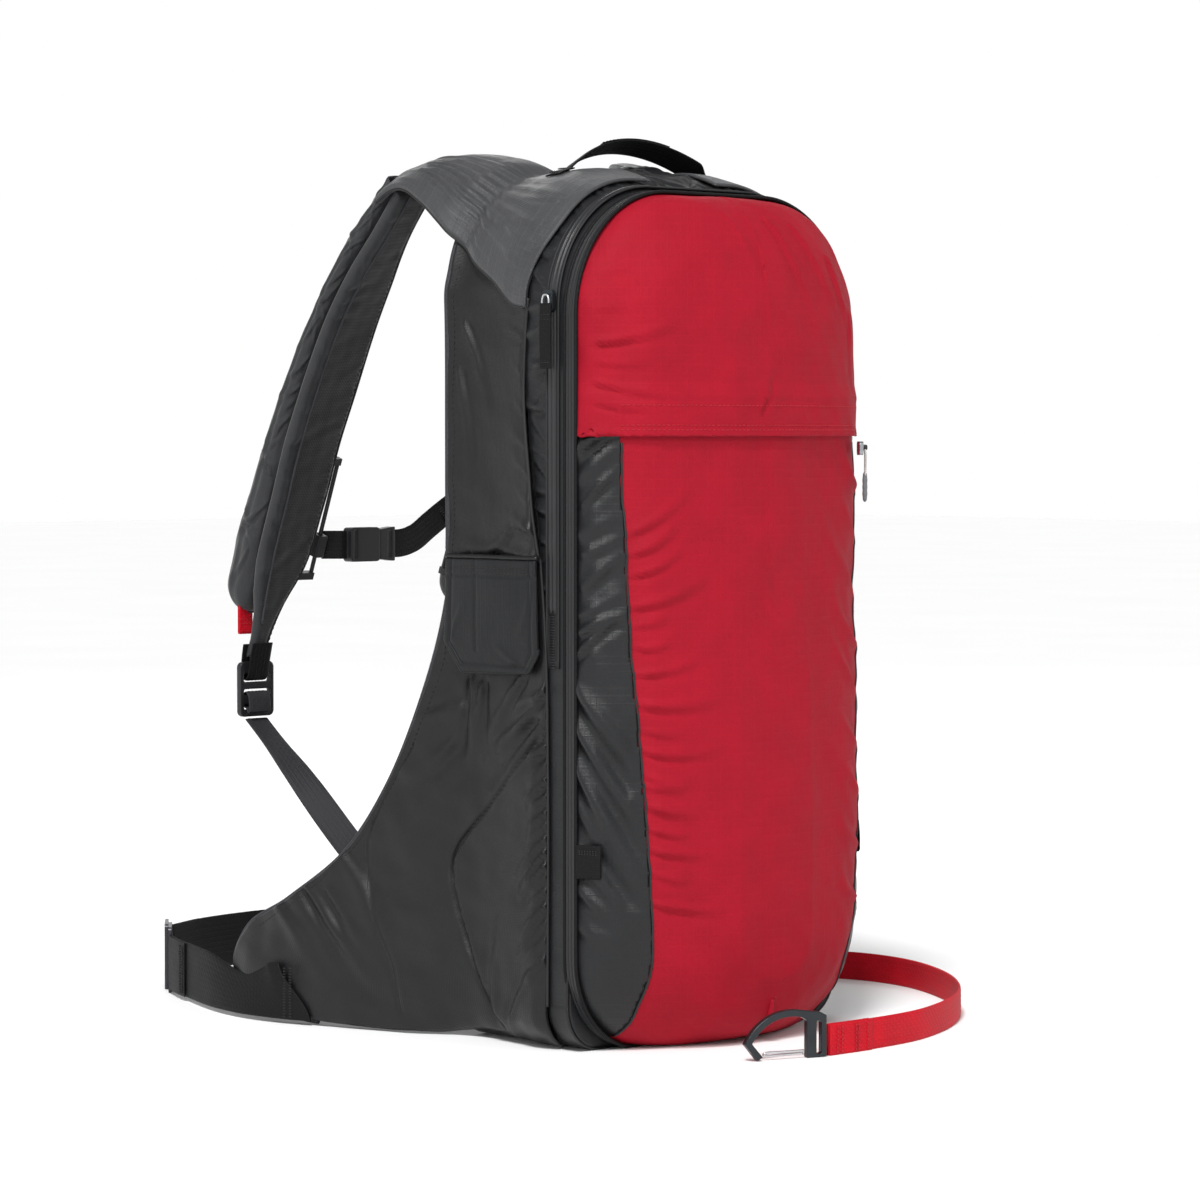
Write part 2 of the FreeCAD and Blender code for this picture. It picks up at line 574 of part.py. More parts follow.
def route_wire(points, offset):
    """Straight runs joined by tangent arcs along a plan route, moved sideways by offset."""
    radii, edges, start = [], [], None
    pts = [Vector(*p, 0) for p in points]
    normal = Vector(0, 0, 1)
    first = (pts[1] - pts[0]).normalize()
    start = pts[0] + normal.cross(first) * offset
    for before, at, after in zip(pts, pts[1:], pts[2:]):
        u, w = (at - before).normalize(), (after - at).normalize()
        turn = u.getAngle(w)
        radius = 0.45 * min((at - before).Length, (after - at).Length) / math.tan(turn / 2)
        radii.append(radius)
        side = 1 if u.cross(w).z > 0 else -1
        cut = radius * math.tan(turn / 2)
        inward = normal.cross(u) * side
        centre = at - u * cut + inward * radius
        own = radius - side * offset
        a, b = centre - inward * own, centre - normal.cross(w) * side * own
        middle_way = (a - centre + b - centre).normalize()
        edges.append(Part.LineSegment(start, a).toShape())
        edges.append(Part.Arc(a, centre + middle_way * own, b).toShape())
        start = b
    last = (pts[-1] - pts[-2]).normalize()
    edges.append(Part.LineSegment(start, pts[-1] + normal.cross(last) * offset).toShape())
    return edges, radii


def make_leg_loop():
    half, width = size("leg_thick") / 2, size("leg_width")
    one, radii = route_wire(LEG_ROUTE, half)
    other, _ = route_wire(LEG_ROUTE, -half)
    middle, _ = route_wire(LEG_ROUTE, 0)
    a0, a1 = one[0].Vertexes[0].Point, one[-1].Vertexes[-1].Point
    b0, b1 = other[0].Vertexes[0].Point, other[-1].Vertexes[-1].Point
    outline = one + [Part.makeLine(a1, b1)] + other + [Part.makeLine(b0, a0)]
    strap = Part.Face(Part.Wire(Part.__sortEdges__(outline))).extrude(Vector(0, 0, width))
    strap.translate(Vector(0, 0, 0.2))
    length = sum(e.Length for e in middle)
    expected = length * width * 2 * half
    print("leg loop radii", [round(r) for r in radii], "length", round(length), "volume ratio",
          round(strap.Volume / expected, 4))
    feature("leg_strap", strap)

    body = doc.addObject("PartDesign::Body", "carabiner_body")
    t = size("hook_thick")
    outer = [(2.2, 0.2), (2.2, 26.5), (-2, 28.8), (-14, 30.3), (-42, 25.5, "via"), (-55, 11), (-46, 0.2),
             (-42.5, 2.6), (-50, 11.2), (-39, 22.2, "via"), (-15, 26), (-11.5, 24), (-11.5, 0.2)]
    add_pad(body, "XZ", [outer], f"-{t / 2}", "Sizes.hook_thick")
    pocket(body, "XZ", [rounded_rect(-4.8, -1.2, 2.2, 23.4, 1)], "-6", "12")
    place(keep(body, "carabiner_body"), -16.2, -175.6, 0, turn_z=-20)
    gate = doc.addObject("PartDesign::Body", "carabiner_gate")
    bar = [(-12.2, 2.2), (-12.2, 5.6), (-40.6, 5.6), (-41.8, 3.9, "via"), (-40.6, 2.2)]
    add_pad(gate, "XZ", [bar], "-1.4", "2.8")
    pocket(gate, "XZ", [rounded_rect(-39, -14.5, 3.4, 4.4, 0.45)], "-6", "12")
    place(keep(gate, "carabiner_gate"), -16.2, -175.6, 0, turn_z=-20)


# ---------------------------------------------------------------- back system and airbag system

def make_back_system():
    w, h = size("sheet_width") / 2, size("sheet_height")
    sheet_outline = rounded_rect(-w, w, 34, 34 + h, 30)
    pad_body("frame_sheet", "XZ", [sheet_outline], "Sizes.main_back - 5", "Sizes.sheet_thick")
    half, spread, depth = size("stay_width") / 2, size("stay_spread"), size("stay_thick")
    y = size("main_back") - 5.3 - depth
    stays = [Part.makeBox(2 * half, depth, 406, Vector(x - half, y, 46)) for x in (-spread, spread)]
    feature("frame_stays", Part.makeCompound(stays))

    low, high, wide, channel = size("pad_low"), size("pad_high"), size("pad_width"), 12.0
    outer = [(-channel, high), (-channel - 14, high + 8), (-wide + 12, high + 2), (-wide, high - 26),
             (-wide - 8, 300, "via"), (-wide, low + 18), (-wide + 14, low)]
    outer = outer + [(-p[0], p[1]) + tuple(p[2:]) for p in reversed(outer)]
    pad = doc.addObject("PartDesign::Body", "back_pad")
    start = "Sizes.main_back + Sizes.fabric + 0.2"
    add_pad(pad, "XZ", [outer], start, "Sizes.pad_thick")
    groove = [(-channel, low - 1), (channel, low - 1), (channel - 2, high + 20), (-channel + 2, high + 20)]
    pocket(pad, "XZ", [groove], start + " + 4", "Sizes.pad_thick")
    keep(pad, "back_pad")
    pad_body("lumbar_pad", "XZ", [rounded_rect(-92, 92, 8, 74, 22)], start, "Sizes.pad_thick + 5")


def make_airbag_system():
    """The fan, battery and controller stand against the frame sheet; the airbag is folded at the left."""
    y_back = size("main_back") - 9.5
    folded = [(-120, 180), (-120, 478), (-100, 520, "via"), (-62, 536), (-62, 490), (-78, 470, "via"),
              (-86, 440), (-86, 180)]
    pad_body("folded_airbag", "XZ", [folded], f"{y_back - 40}", "40")
    battery = doc.addObject("Part::Box", "battery_pack")
    battery.setExpression("Length", "Sizes.battery_width")
    battery.setExpression("Width", "Sizes.battery_depth")
    battery.setExpression("Height", "Sizes.battery_height")
    battery.setExpression(".Placement.Base.x", "-Sizes.battery_width / 2")
    battery.setExpression(".Placement.Base.y", "Sizes.main_back - 9.5 - Sizes.battery_depth")
    battery.setExpression(".Placement.Base.z", "40")
    keep(battery, "battery_pack")
    controller = doc.addObject("Part::Box", "control_unit")
    controller.setExpression("Length", "Sizes.controller_size")
    controller.setExpression("Width", "Sizes.controller_depth")
    controller.setExpression("Height", "Sizes.controller_size")
    controller.setExpression(".Placement.Base.x", "-Sizes.controller_size / 2")
    controller.setExpression(".Placement.Base.y", "Sizes.main_back - 9.5 - Sizes.controller_depth")
    controller.setExpression(".Placement.Base.z", "40 + Sizes.battery_height + 8")
    keep(controller, "control_unit")

    radius, depth, wall = size("fan_radius"), size("fan_depth"), size("fan_wall")
    centre = Vector(10, y_back - depth, 390)
    housing = doc.addObject("PartDesign::Body", "fan_housing")
    circle = [(-radius, 0), (0, radius, "via"), (radius, 0), (0, -radius, "via")]
    inner = radius - wall
    bore = [(-inner, 0), (0, inner, "via"), (inner, 0), (0, -inner, "via")]
    add_pad(housing, "XZ", [circle], "0", "Sizes.fan_depth")
    pocket(housing, "XZ", [bore], "-1", "Sizes.fan_depth - Sizes.fan_wall + 1")
    place(keep(housing, "fan_housing"), centre.x, centre.y, centre.z)
    impeller = doc.addObject("PartDesign::Body", "fan_impeller")
    hub = size("hub_radius")
    hub_circle = [(-hub, 0), (0, hub, "via"), (hub, 0), (0, -hub, "via")]
    add_pad(impeller, "XZ", [hub_circle], "0", "Sizes.blade_depth")
    tip, half = size("blade_radius"), size("blade_thick") / 2
    blade_count = 7
    for k in range(blade_count):
        a = 2 * math.pi * k / blade_count
        c, s = math.cos(a), math.sin(a)
        corners = ((hub - 1, -half), (tip, -half), (tip, half), (hub - 1, half))
        blade = [(r * c - n * s, r * s + n * c) for r, n in corners]
        add_pad(impeller, "XZ", [blade], "1", "Sizes.blade_depth - 2")
    place(keep(impeller, "fan_impeller"), centre.x, centre.y + 8, centre.z)


# ---------------------------------------------------------------- build, check and write

make_bag()
make_front_section()
make_zips()
make_pocket_pull()
make_side_pieces()
make_straps()
make_adjusters()
make_sternum()
make_hip_belt()
make_handle()
make_tool_loops()
make_leg_loop()
make_back_system()
make_airbag_system()
doc.recompute()

for obj in doc.Objects:
    if "Invalid" in obj.State or "Error" in obj.State:
        raise RuntimeError(f"{obj.Label} failed: {obj.State}")
os.makedirs("parts", exist_ok=True)
for obj in nodes:
    shape = obj.Shape
    if shape.isNull() or not shape.isValid() or not shape.Solids:
        raise RuntimeError(f"{obj.Label} has no valid solid")
    if shape.BoundBox.ZMin < -0.01:
        raise RuntimeError(f"{obj.Label} reaches below the floor: {shape.BoundBox.ZMin:.2f}")
    shape.exportStep(f"parts/{obj.Label}.step")
print(len(nodes), "nodes written")
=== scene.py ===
"""Looks of the ski backpack: fabric shells, padding, webbing, zips and hardware round the CAD frame.

Lengths in this script are millimetres, in the frame's axes, and become metres when a mesh is made.
"""
import math
import random

import bmesh
import bpy
import numpy as np
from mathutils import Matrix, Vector
from mathutils.bvhtree import BVHTree


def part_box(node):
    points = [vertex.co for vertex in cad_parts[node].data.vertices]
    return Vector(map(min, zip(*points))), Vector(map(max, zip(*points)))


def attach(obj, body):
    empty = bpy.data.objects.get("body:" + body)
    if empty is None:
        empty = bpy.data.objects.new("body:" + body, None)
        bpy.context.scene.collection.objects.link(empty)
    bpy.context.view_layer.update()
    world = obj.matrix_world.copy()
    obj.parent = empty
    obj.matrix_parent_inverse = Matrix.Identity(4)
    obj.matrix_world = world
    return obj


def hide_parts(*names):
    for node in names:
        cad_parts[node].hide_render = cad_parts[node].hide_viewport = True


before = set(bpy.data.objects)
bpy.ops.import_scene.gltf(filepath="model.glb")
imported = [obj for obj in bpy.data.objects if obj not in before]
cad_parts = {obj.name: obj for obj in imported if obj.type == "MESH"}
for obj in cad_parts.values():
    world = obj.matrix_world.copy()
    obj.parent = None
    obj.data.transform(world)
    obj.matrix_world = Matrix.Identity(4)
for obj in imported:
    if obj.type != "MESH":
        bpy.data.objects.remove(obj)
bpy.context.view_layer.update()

MM = 0.001
UP = np.array([0.0, 0.0, 1.0])
# Shapes are drawn for the left side, at negative x, and multiplied by the sign; the right side's rows are
# turned round so that its faces still point outwards.
SIDES = (("left", 1.0), ("right", -1.0))
FLIP = {1.0: slice(None), -1.0: slice(None, None, -1)}


def edges_of(node):
    """Lowest and highest corner of a CAD node, in millimetres."""
    low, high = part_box(node)
    return np.array(low) / MM, np.array(high) / MM


HALF = -edges_of("side_panel_left")[0][0]
TOP = edges_of("top_panel")[1][2]
FRONT_TOP = edges_of("divider_panel")[1][2]
BACK = edges_of("back_panel")[1][1]
DIVIDER = edges_of("divider_panel")[0][1]
HEM = edges_of("front_upper_panel")[0][2]
ZIP_Y = float(sum(edges_of("main_zip_tape")[i][1] for i in (0, 1)) / 2)
ZIP_LOW = edges_of("main_zip_tape")[0][2]
# Corner radii of the bag's outline: top, base, and base of the front section.
TOP_RADIUS, BASE_RADIUS, FRONT_BASE_RADIUS = 80.0, 28.0, 60.0


# ---------------------------------------------------------------- lines and surfaces

def hermite(x, xs, ys):
    """Smooth values at x through the points (xs, ys); ys may be rows of coordinates."""
    xs, ys, x = np.array(xs, float), np.array(ys, float), np.array(x, float)
    rows = ys if ys.ndim > 1 else ys[:, None]
    slope = np.gradient(rows, xs, axis=0)
    k = np.clip(np.searchsorted(xs, x, side="right") - 1, 0, len(xs) - 2)
    gap = (xs[k + 1] - xs[k])[..., None]
    u = np.clip((x - xs[k])[..., None] / gap, 0, 1)
    made = ((2 * u**3 - 3 * u**2 + 1) * rows[k] + (u**3 - 2 * u**2 + u) * gap * slope[k]
            + (3 * u**2 - 2 * u**3) * rows[k + 1] + (u**3 - u**2) * gap * slope[k + 1])
    return made if ys.ndim > 1 else made[..., 0]


def run_of(line):
    """Distance along a line at each of its points."""
    return np.concatenate([[0.0], np.cumsum(np.linalg.norm(np.diff(line, axis=0), axis=1))])


def resample(places, at, rows):
    """Rows of coordinates that are known at the distances in at, read off at other distances."""
    return np.stack([np.interp(places, at, rows[:, i]) for i in range(rows.shape[1])], 1)


def evenly(line, count):
    """The same line with evenly spaced points."""
    line = np.array(line, float)
    at = run_of(line)
    return resample(np.linspace(0, at[-1], count), at, line)


def smooth_line(points, count):
    """Evenly spaced points along a smooth line through the given points."""
    points = np.array(points, float)
    at = run_of(points)
    return evenly(hermite(np.linspace(0, at[-1], 8 * count), at, points), count)


def unit(v):
    """Vectors at length one."""
    return v / np.maximum(np.linalg.norm(v, axis=-1, keepdims=True), 1e-9)


def along(points, axis=0, wrap=False):
    """Central differences of a grid of points along one axis."""
    if wrap:
        return np.roll(points, -1, axis) - np.roll(points, 1, axis)
    return np.gradient(points, axis=axis)


def normals(points, wrap_u=False, wrap_v=False):
    """Unit normals at each point of a grid."""
    return unit(np.cross(along(points, 0, wrap_u), along(points, 1, wrap_v)))


def smoothstep(x, low, high):
    """A smooth rise from 0 at low to 1 at high."""
    t = np.clip((x - low) / (high - low), 0, 1)
    return t * t * (3 - 2 * t)


def bump(x, centre, width):
    """A bell-shaped rise to 1 at the centre."""
    return np.exp(-((x - centre) / width) ** 2)


def ripple(s, t, scale, seed):
    """Gentle unevenness of cloth, from -1 to 1, with features about scale across."""
    waves = 7
    rng = random.Random(seed)
    total = np.zeros_like(s, dtype=float)
    for _ in range(waves):
        angle, phase = rng.uniform(0, math.pi), rng.uniform(0, 2 * math.pi)
        k = 2 * math.pi / (scale * rng.uniform(0.7, 1.6))
        total += np.sin(k * (s * math.cos(angle) + t * math.sin(angle)) + phase)
    return total / waves * 1.6


def folds(s, t, creases, fade, swell=False):
    """Heights of cloth folds at (s, t). A crease is (s0, t0, s1, t1, width, height, bend); it fades away
    from its start, or swells in its middle."""
    total = np.zeros_like(s, dtype=float)
    for s0, t0, s1, t1, width, height, bend in creases:
        ds, dt = s1 - s0, t1 - t0
        length = math.hypot(ds, dt)
        k = ((s - s0) * ds + (t - t0) * dt) / length**2
        inside = np.clip(k, 0, 1)
        off = ((s - s0) * dt - (t - t0) * ds) / length - bend * 4 * inside * (1 - inside)
        ends = np.exp(-((k - inside) * length / width) ** 2)
        x = off / (width * (0.55 + 0.75 * inside))
        shape = np.exp(-x * x) - 0.7 * np.exp(-(x - 1.35) ** 2)
        strength = (4 * inside * (1 - inside)) ** fade if swell else (1 - inside) ** fade
        total += height * ends * strength * shape
    return total


def new_object(name, data):
    """An object in the scene with the given mesh, curve, lamp or camera."""
    made = bpy.data.objects.new(name, data)
    bpy.context.scene.collection.objects.link(made)
    return made


def mesh_object(name, verts, faces, uv=None, smooth=True):
    """A mesh from vertices and flat coordinates in millimetres."""
    mesh = bpy.data.meshes.new(name)
    mesh.from_pydata((np.array(verts) * MM).tolist(), [], [tuple(f) for f in faces])
    if uv is not None:
        layer = mesh.uv_layers.new(name="UVMap")
        corner = np.zeros(len(mesh.loops), int)
        mesh.loops.foreach_get("vertex_index", corner)
        layer.data.foreach_set("uv", (np.array(uv)[corner] * MM).ravel())
    if smooth:
        mesh.shade_smooth()
    return new_object(name, mesh)


def grid_faces(index, wrap_u=False, wrap_v=False):
    """Quads over a grid of vertex numbers."""
    rows = np.concatenate([index, index[:1]]) if wrap_u else index
    rows = np.concatenate([rows, rows[:, :1]], 1) if wrap_v else rows
    quads = np.stack([rows[:-1, :-1], rows[1:, :-1], rows[1:, 1:], rows[:-1, 1:]], -1).reshape(-1, 4)
    return quads.tolist()


def tube_faces(index, closed=False):
    """Faces of a tube over a grid of vertex numbers, with its ends filled in unless it is closed."""
    faces = grid_faces(index, closed, True)
    return faces if closed else faces + [index[0].tolist(), index[-1][::-1].tolist()]


def grid_uv(points):
    """Arc-length coordinates of a grid, so that a weave keeps its scale."""
    du = np.concatenate([[0], np.cumsum(np.linalg.norm(np.diff(points, axis=0), axis=2).mean(1))])
    dv = np.concatenate([[0], np.cumsum(np.linalg.norm(np.diff(points, axis=1), axis=2).mean(0))])
    return np.stack(np.meshgrid(du, dv, indexing="ij"), -1)


def shell(name, points, thick, uv=None, wrap_u=False, wrap_v=False):
    """A cloth panel: a grid of points with its cloth behind it."""
    uv = grid_uv(points) if uv is None else uv
    index = np.arange(points.shape[0] * points.shape[1]).reshape(points.shape[:2])
    obj = mesh_object(name, points.reshape(-1, 3), grid_faces(index, wrap_u, wrap_v), uv.reshape(-1, 2))
    return thicken(obj, thick)


def vertices_of(obj):
    """An object's vertices, in metres."""
    return np.array([v.co for v in obj.data.vertices])


def place_vertices(obj, co):
    """Moves an object's vertices to new places, in metres."""
    obj.data.vertices.foreach_set("co", co.ravel())


def bmesh_of(obj):
    """An editable copy of an object's mesh."""
    made = bmesh.new()
    made.from_mesh(obj.data)
    return made


def thicken(obj, thick):
    """Gives a skin its cloth, behind its face."""
    solid = obj.modifiers.new("cloth", "SOLIDIFY")
    solid.thickness = thick * MM
    solid.offset = -1
    solid.use_even_offset = False
    return obj


def apply_modifiers(obj):
    """Leaves the finished mesh on the object, with no modifier."""
    done = bpy.data.meshes.new_from_object(obj.evaluated_get(bpy.context.evaluated_depsgraph_get()))
    obj.modifiers.clear()
    obj.data = done
    return obj


def subdivide(obj):
    """Smooths an object by one level of subdivision."""
    sub = obj.modifiers.new("smooth", "SUBSURF")
    sub.levels = sub.render_levels = 1
    return obj


def crowded(count):
    """Places from 0 to 1 that crowd towards both ends, where a rim is rounded."""
    t = np.linspace(0, 1, count)
    return 0.55 * t + 0.45 * (0.5 - 0.5 * np.cos(np.pi * t))


def quilt(name, mid, thick, rim, outer=0.0, inner=0.0):
    """A padded piece: two skins on either side of a middle surface, which meet round its rim."""
    n = normals(mid)
    nu, nv = mid.shape[:2]
    cu = np.cumsum(np.concatenate([np.zeros((1, nv)), np.linalg.norm(np.diff(mid, axis=0), axis=2)]), 0)
    cv = np.cumsum(np.concatenate([np.zeros((nu, 1)), np.linalg.norm(np.diff(mid, axis=1), axis=2)], 1), 1)
    near = np.minimum(np.minimum(cu, cu[-1:] - cu), np.minimum(cv, cv[:, -1:] - cv))
    lift = np.sqrt(1 - (1 - np.clip(near / rim, 0, 1)) ** 2)
    half = np.broadcast_to(np.array(thick, float) / 2, (nu, nv)) * lift
    front = mid + n * (half + outer * lift)[..., None]
    rear = mid - n * (half + inner * lift)[..., None]
    index = np.arange(nu * nv).reshape(nu, nv)
    back = index + nu * nv
    for edge in (np.s_[0, :], np.s_[-1, :], np.s_[:, 0], np.s_[:, -1]):
        back[edge] = index[edge]
    uv = grid_uv(mid).reshape(-1, 2)
    faces = grid_faces(index) + grid_faces(back[::-1])
    obj = mesh_object(name, np.concatenate([front.reshape(-1, 3), rear.reshape(-1, 3)]), faces,
                      np.concatenate([uv, uv]))
    tidy = bmesh_of(obj)
    loose = [v for v in tidy.verts if not v.link_faces]
    bmesh.ops.delete(tidy, geom=loose, context="VERTS")
    tidy.to_mesh(obj.data)
    tidy.free()
    return obj


def frames_along(path, hint, closed=False):
    """Tangents, and unit vectors square to them that stay close to hint."""
    tangent = unit(along(path, 0, closed))
    hint = np.broadcast_to(hint, path.shape)
    side = unit(hint - (hint * tangent).sum(1, keepdims=True) * tangent)
    return tangent, side


def sweep(name, path, hint, profile, closed=False):
    """A closed profile of (across, out) points carried along a path; hint gives the way out."""
    tangent, out = frames_along(path, hint, closed)
    across = np.cross(out, tangent)
    profile = np.array(profile, float)
    if profile.ndim == 2:
        profile = np.broadcast_to(profile, (len(path),) + profile.shape)
    rings = path[:, None] + across[:, None] * profile[..., :1] + out[:, None] * profile[..., 1:]
    count, sides = rings.shape[:2]
    index = np.arange(count * sides).reshape(count, sides)
    around = run_of(np.concatenate([profile[0], profile[0][:1]]))[:-1]
    uv = np.stack(np.meshgrid(run_of(path), around, indexing="ij"), -1)
    return mesh_object(name, rings.reshape(-1, 3), tube_faces(index, closed), uv.reshape(-1, 2))


def oval(half_width, half_height, sides):
    """An oval profile, as (across, out) points."""
    angles = np.arange(sides) * math.pi / (sides / 2)
    return np.array([(half_width * math.cos(a), half_height * math.sin(a)) for a in angles])


def squared(value, power):
    """A sine or cosine raised to a power with its sign kept, which squares off a round ring."""
    return np.sign(value) * np.abs(value) ** power


def tube(name, path, radius, hint, closed=False, sides=8):
    """A round cord along a path; the radius may change along it."""
    path = np.array(path, float)
    angles = np.arange(sides) * 2 * math.pi / sides
    ring = np.stack([np.cos(angles), np.sin(angles)], 1)
    radius = np.broadcast_to(np.array(radius, float), (len(path),))
    return sweep(name, path, hint, ring[None] * radius[:, None, None], closed)


def webbing(name, path, out, width, thick, ribs=6, taper=None):
    """Woven webbing: a flat strip with rounded edges and lengthwise ribs; out points off its face."""
    count = 4 * ribs + 1
    across = np.linspace(-0.5, 0.5, count)
    edge = np.sqrt(np.maximum(1 - (np.abs(across) * 2) ** 10, 0.04))
    rib = 0.09 * np.cos(across * 2 * math.pi * ribs)
    height = thick / 2 * edge + rib * edge
    profile = np.concatenate([np.stack([across * width, height], 1),
                              np.stack([across[::-1] * width, -height[::-1]], 1)])
    profiles = np.broadcast_to(profile, (len(path),) + profile.shape).copy()
    if taper is not None:
        profiles[..., 0] *= np.array(taper)[:, None]
    return sweep(name, path, out, profiles)


def join(name, parts):
    """One object made of several, with their materials."""
    for p in parts:
        if p.modifiers:
            apply_modifiers(p)
    with bpy.context.temp_override(active_object=parts[0], object=parts[0], selected_objects=parts,
                                   selected_editable_objects=parts):
        if len(parts) > 1:
            bpy.ops.object.join()
    parts[0].name = name
    parts[0].data.name = name
    return parts[0]


def surface_tree(obj):
    """A search tree of an object's finished mesh, to lay seams on it."""
    return BVHTree.FromObject(obj, bpy.context.evaluated_depsgraph_get())


# Where rays start, clear of the bag: ahead of it, beside it and above it.
AHEAD, ASIDE, ABOVE = -200, 260, 700


def lay_on(tree, starts, way, lift):
    """Points where rays from the starts meet a surface, lifted off it, and the surface's normals."""
    points, outs = [], []
    way = Vector(way).normalized()
    for start in starts:
        hit, normal, _, _ = tree.ray_cast(Vector(start) * MM, way)
        if hit is None:
            continue
        normal = normal if normal.dot(way) < 0 else -normal
        points.append(np.array(hit) / MM + np.array(normal) * lift)
        outs.append(np.array(normal))
    return np.array(points), np.array(outs)


def stitching(name, path, out, length, gap, radius):
    """A row of stitches along a path: short rounded bars that stand off the cloth."""
    at = run_of(path)
    count = max(int(at[-1] / (length + gap)), 1)
    places = np.linspace(0, at[-1], count * 6 + 1)
    line, outs = resample(places, at, path), resample(places, at, out)
    bow = np.array([0.0, 0.9, 1.0, 0.9, 0.0])
    angles = np.arange(5) * 2 * math.pi / 5
    verts, faces = [], []
    for k in range(count):
        span = slice(6 * k, 6 * k + 5)
        p, o = line[span], unit(outs[span])
        t = unit(along(p))
        side = np.cross(t, o)
        p = p + o * (bow * radius - 0.1)[:, None]
        r = radius * (0.45 + 0.55 * bow)
        ring = p[:, None] + (side[:, None] * np.cos(angles)[:, None] + o[:, None] * np.sin(angles)[:, None]
                             ) * r[:, None, None]
        index = np.arange(25).reshape(5, 5) + len(verts)
        faces += tube_faces(index)
        verts += ring.reshape(-1, 3).tolist()
    return mesh_object(name, verts, faces, np.zeros((len(verts), 2)))


# ---------------------------------------------------------------- materials

def linear(red, green, blue):
    """A colour given as sRGB bytes."""
    def one(c):
        c /= 255
        return c / 12.92 if c <= 0.04045 else ((c + 0.055) / 1.055) ** 2.4
    return (one(red), one(green), one(blue), 1.0)


class Surface:
    """Node tree of one material, with short calls for the nodes that the finishes share."""

    def __init__(self, name):
        self.material = bpy.data.materials.new(name)
        self.material.use_nodes = True
        self.tree = self.material.node_tree
        self.shader = self.tree.nodes["Principled BSDF"]

    def node(self, kind, **values):
        made = self.tree.nodes.new(kind)
        for key, value in values.items():
            if hasattr(made, key):
                setattr(made, key, value)
            else:
                made.inputs[key.replace("_", " ")].default_value = value
        return made

    def link(self, source, target):
        self.tree.links.new(source, target)

    def coords(self, kind):
        return self.node("ShaderNodeTexCoord").outputs[kind]

    def noise(self, coords, scale, detail=3.0):
        made = self.node("ShaderNodeTexNoise", Scale=scale, Detail=detail)
        self.link(coords, made.inputs["Vector"])
        return made.outputs["Fac"]

    def bands(self, coords, period, direction):
        """Waves of a given period in metres, from 0 to 1."""
        made = self.node("ShaderNodeTexWave", wave_type="BANDS", bands_direction=direction,
                         wave_profile="SIN", Scale=0.314159 / period)
        self.link(coords, made.inputs["Vector"])
        return made.outputs["Fac"]

    def math(self, operation, a, b):
        made = self.node("ShaderNodeMath", operation=operation)
        for socket, value in zip(made.inputs, (a, b)):
            if isinstance(value, (int, float)):
                socket.default_value = value
            else:
                self.link(value, socket)
        return made.outputs[0]

    def ramp(self, fac, stops):
        made = self.node("ShaderNodeValToRGB")
        elements = made.color_ramp.elements
        while len(elements) < len(stops):
            elements.new(0.5)
        for element, (place, colour) in zip(elements, stops):
            element.position, element.color = place, colour
        self.link(fac, made.inputs["Fac"])
        return made.outputs["Color"]

    def bump(self, height, strength, distance, normal=None):
        made = self.node("ShaderNodeBump", Strength=strength, Distance=distance)
        self.link(height, made.inputs["Height"])
        if normal is not None:
            self.link(normal, made.inputs["Normal"])
        return made.outputs["Normal"]

    def feed(self, name, source):
        """Leads a socket into one of the shader's inputs."""
        self.link(source, self.shader.inputs[name])

    def tones(self, fac, colour, dark, light):
        """Base colour between two tones; each is a place on fac and a factor."""
        stops = [(place, shade(colour, factor)) for place, factor in (dark, light)]
        self.feed("Base Color", self.ramp(fac, stops))

    def finish(self, **values):
        """Sets plain values of the shader, and hands over the material."""
        for key, value in values.items():
            self.shader.inputs[key.replace("_", " ")].default_value = value
        return self.material

    def spread(self, fac, low, high):
        made = self.node("ShaderNodeMapRange", To_Min=low, To_Max=high)
        self.link(fac, made.inputs["Value"])
        return made.outputs["Result"]


def shade(colour, factor):
    """A colour made darker or lighter."""
    return tuple(c * factor for c in colour[:3]) + (1.0,)


def fabric(name, colour, weave, rough, tone, grid=None, relief=0.25, sheen=0.15, gloss=0.42):
    """Woven cloth: threads both ways, an optional ripstop grid, and slow changes of tone and gloss."""
    s = Surface(name)
    at = s.coords("UV")
    height = s.math("ADD", s.bands(at, weave * MM, "X"), s.bands(at, weave * MM, "Y"))
    cloudy, fine = s.noise(at, 28.0, 4.0), s.noise(at, 900.0, 2.0)
    mixed = s.math("ADD", s.math("MULTIPLY", cloudy, 0.72), s.math("MULTIPLY", fine, 0.28))
    if grid:
        lines = s.math("MAXIMUM", s.bands(at, grid * MM, "X"), s.bands(at, grid * MM, "Y"))
        lines = s.math("POWER", lines, 26.0)
        height = s.math("ADD", height, s.math("MULTIPLY", lines, 1.6))
        mixed = s.math("ADD", mixed, s.math("MULTIPLY", lines, 0.12))
    s.tones(mixed, colour, (0.28, 1 - tone), (0.72, 1 + tone))
    s.feed("Roughness", s.spread(cloudy, *rough))
    soft = s.bump(s.noise(at, 130.0, 3.0), 0.35, 0.0009)
    s.feed("Normal", s.bump(height, relief, 0.00022, soft))
    return s.finish(Sheen_Weight=sheen, Sheen_Roughness=0.45, Specular_IOR_Level=gloss)


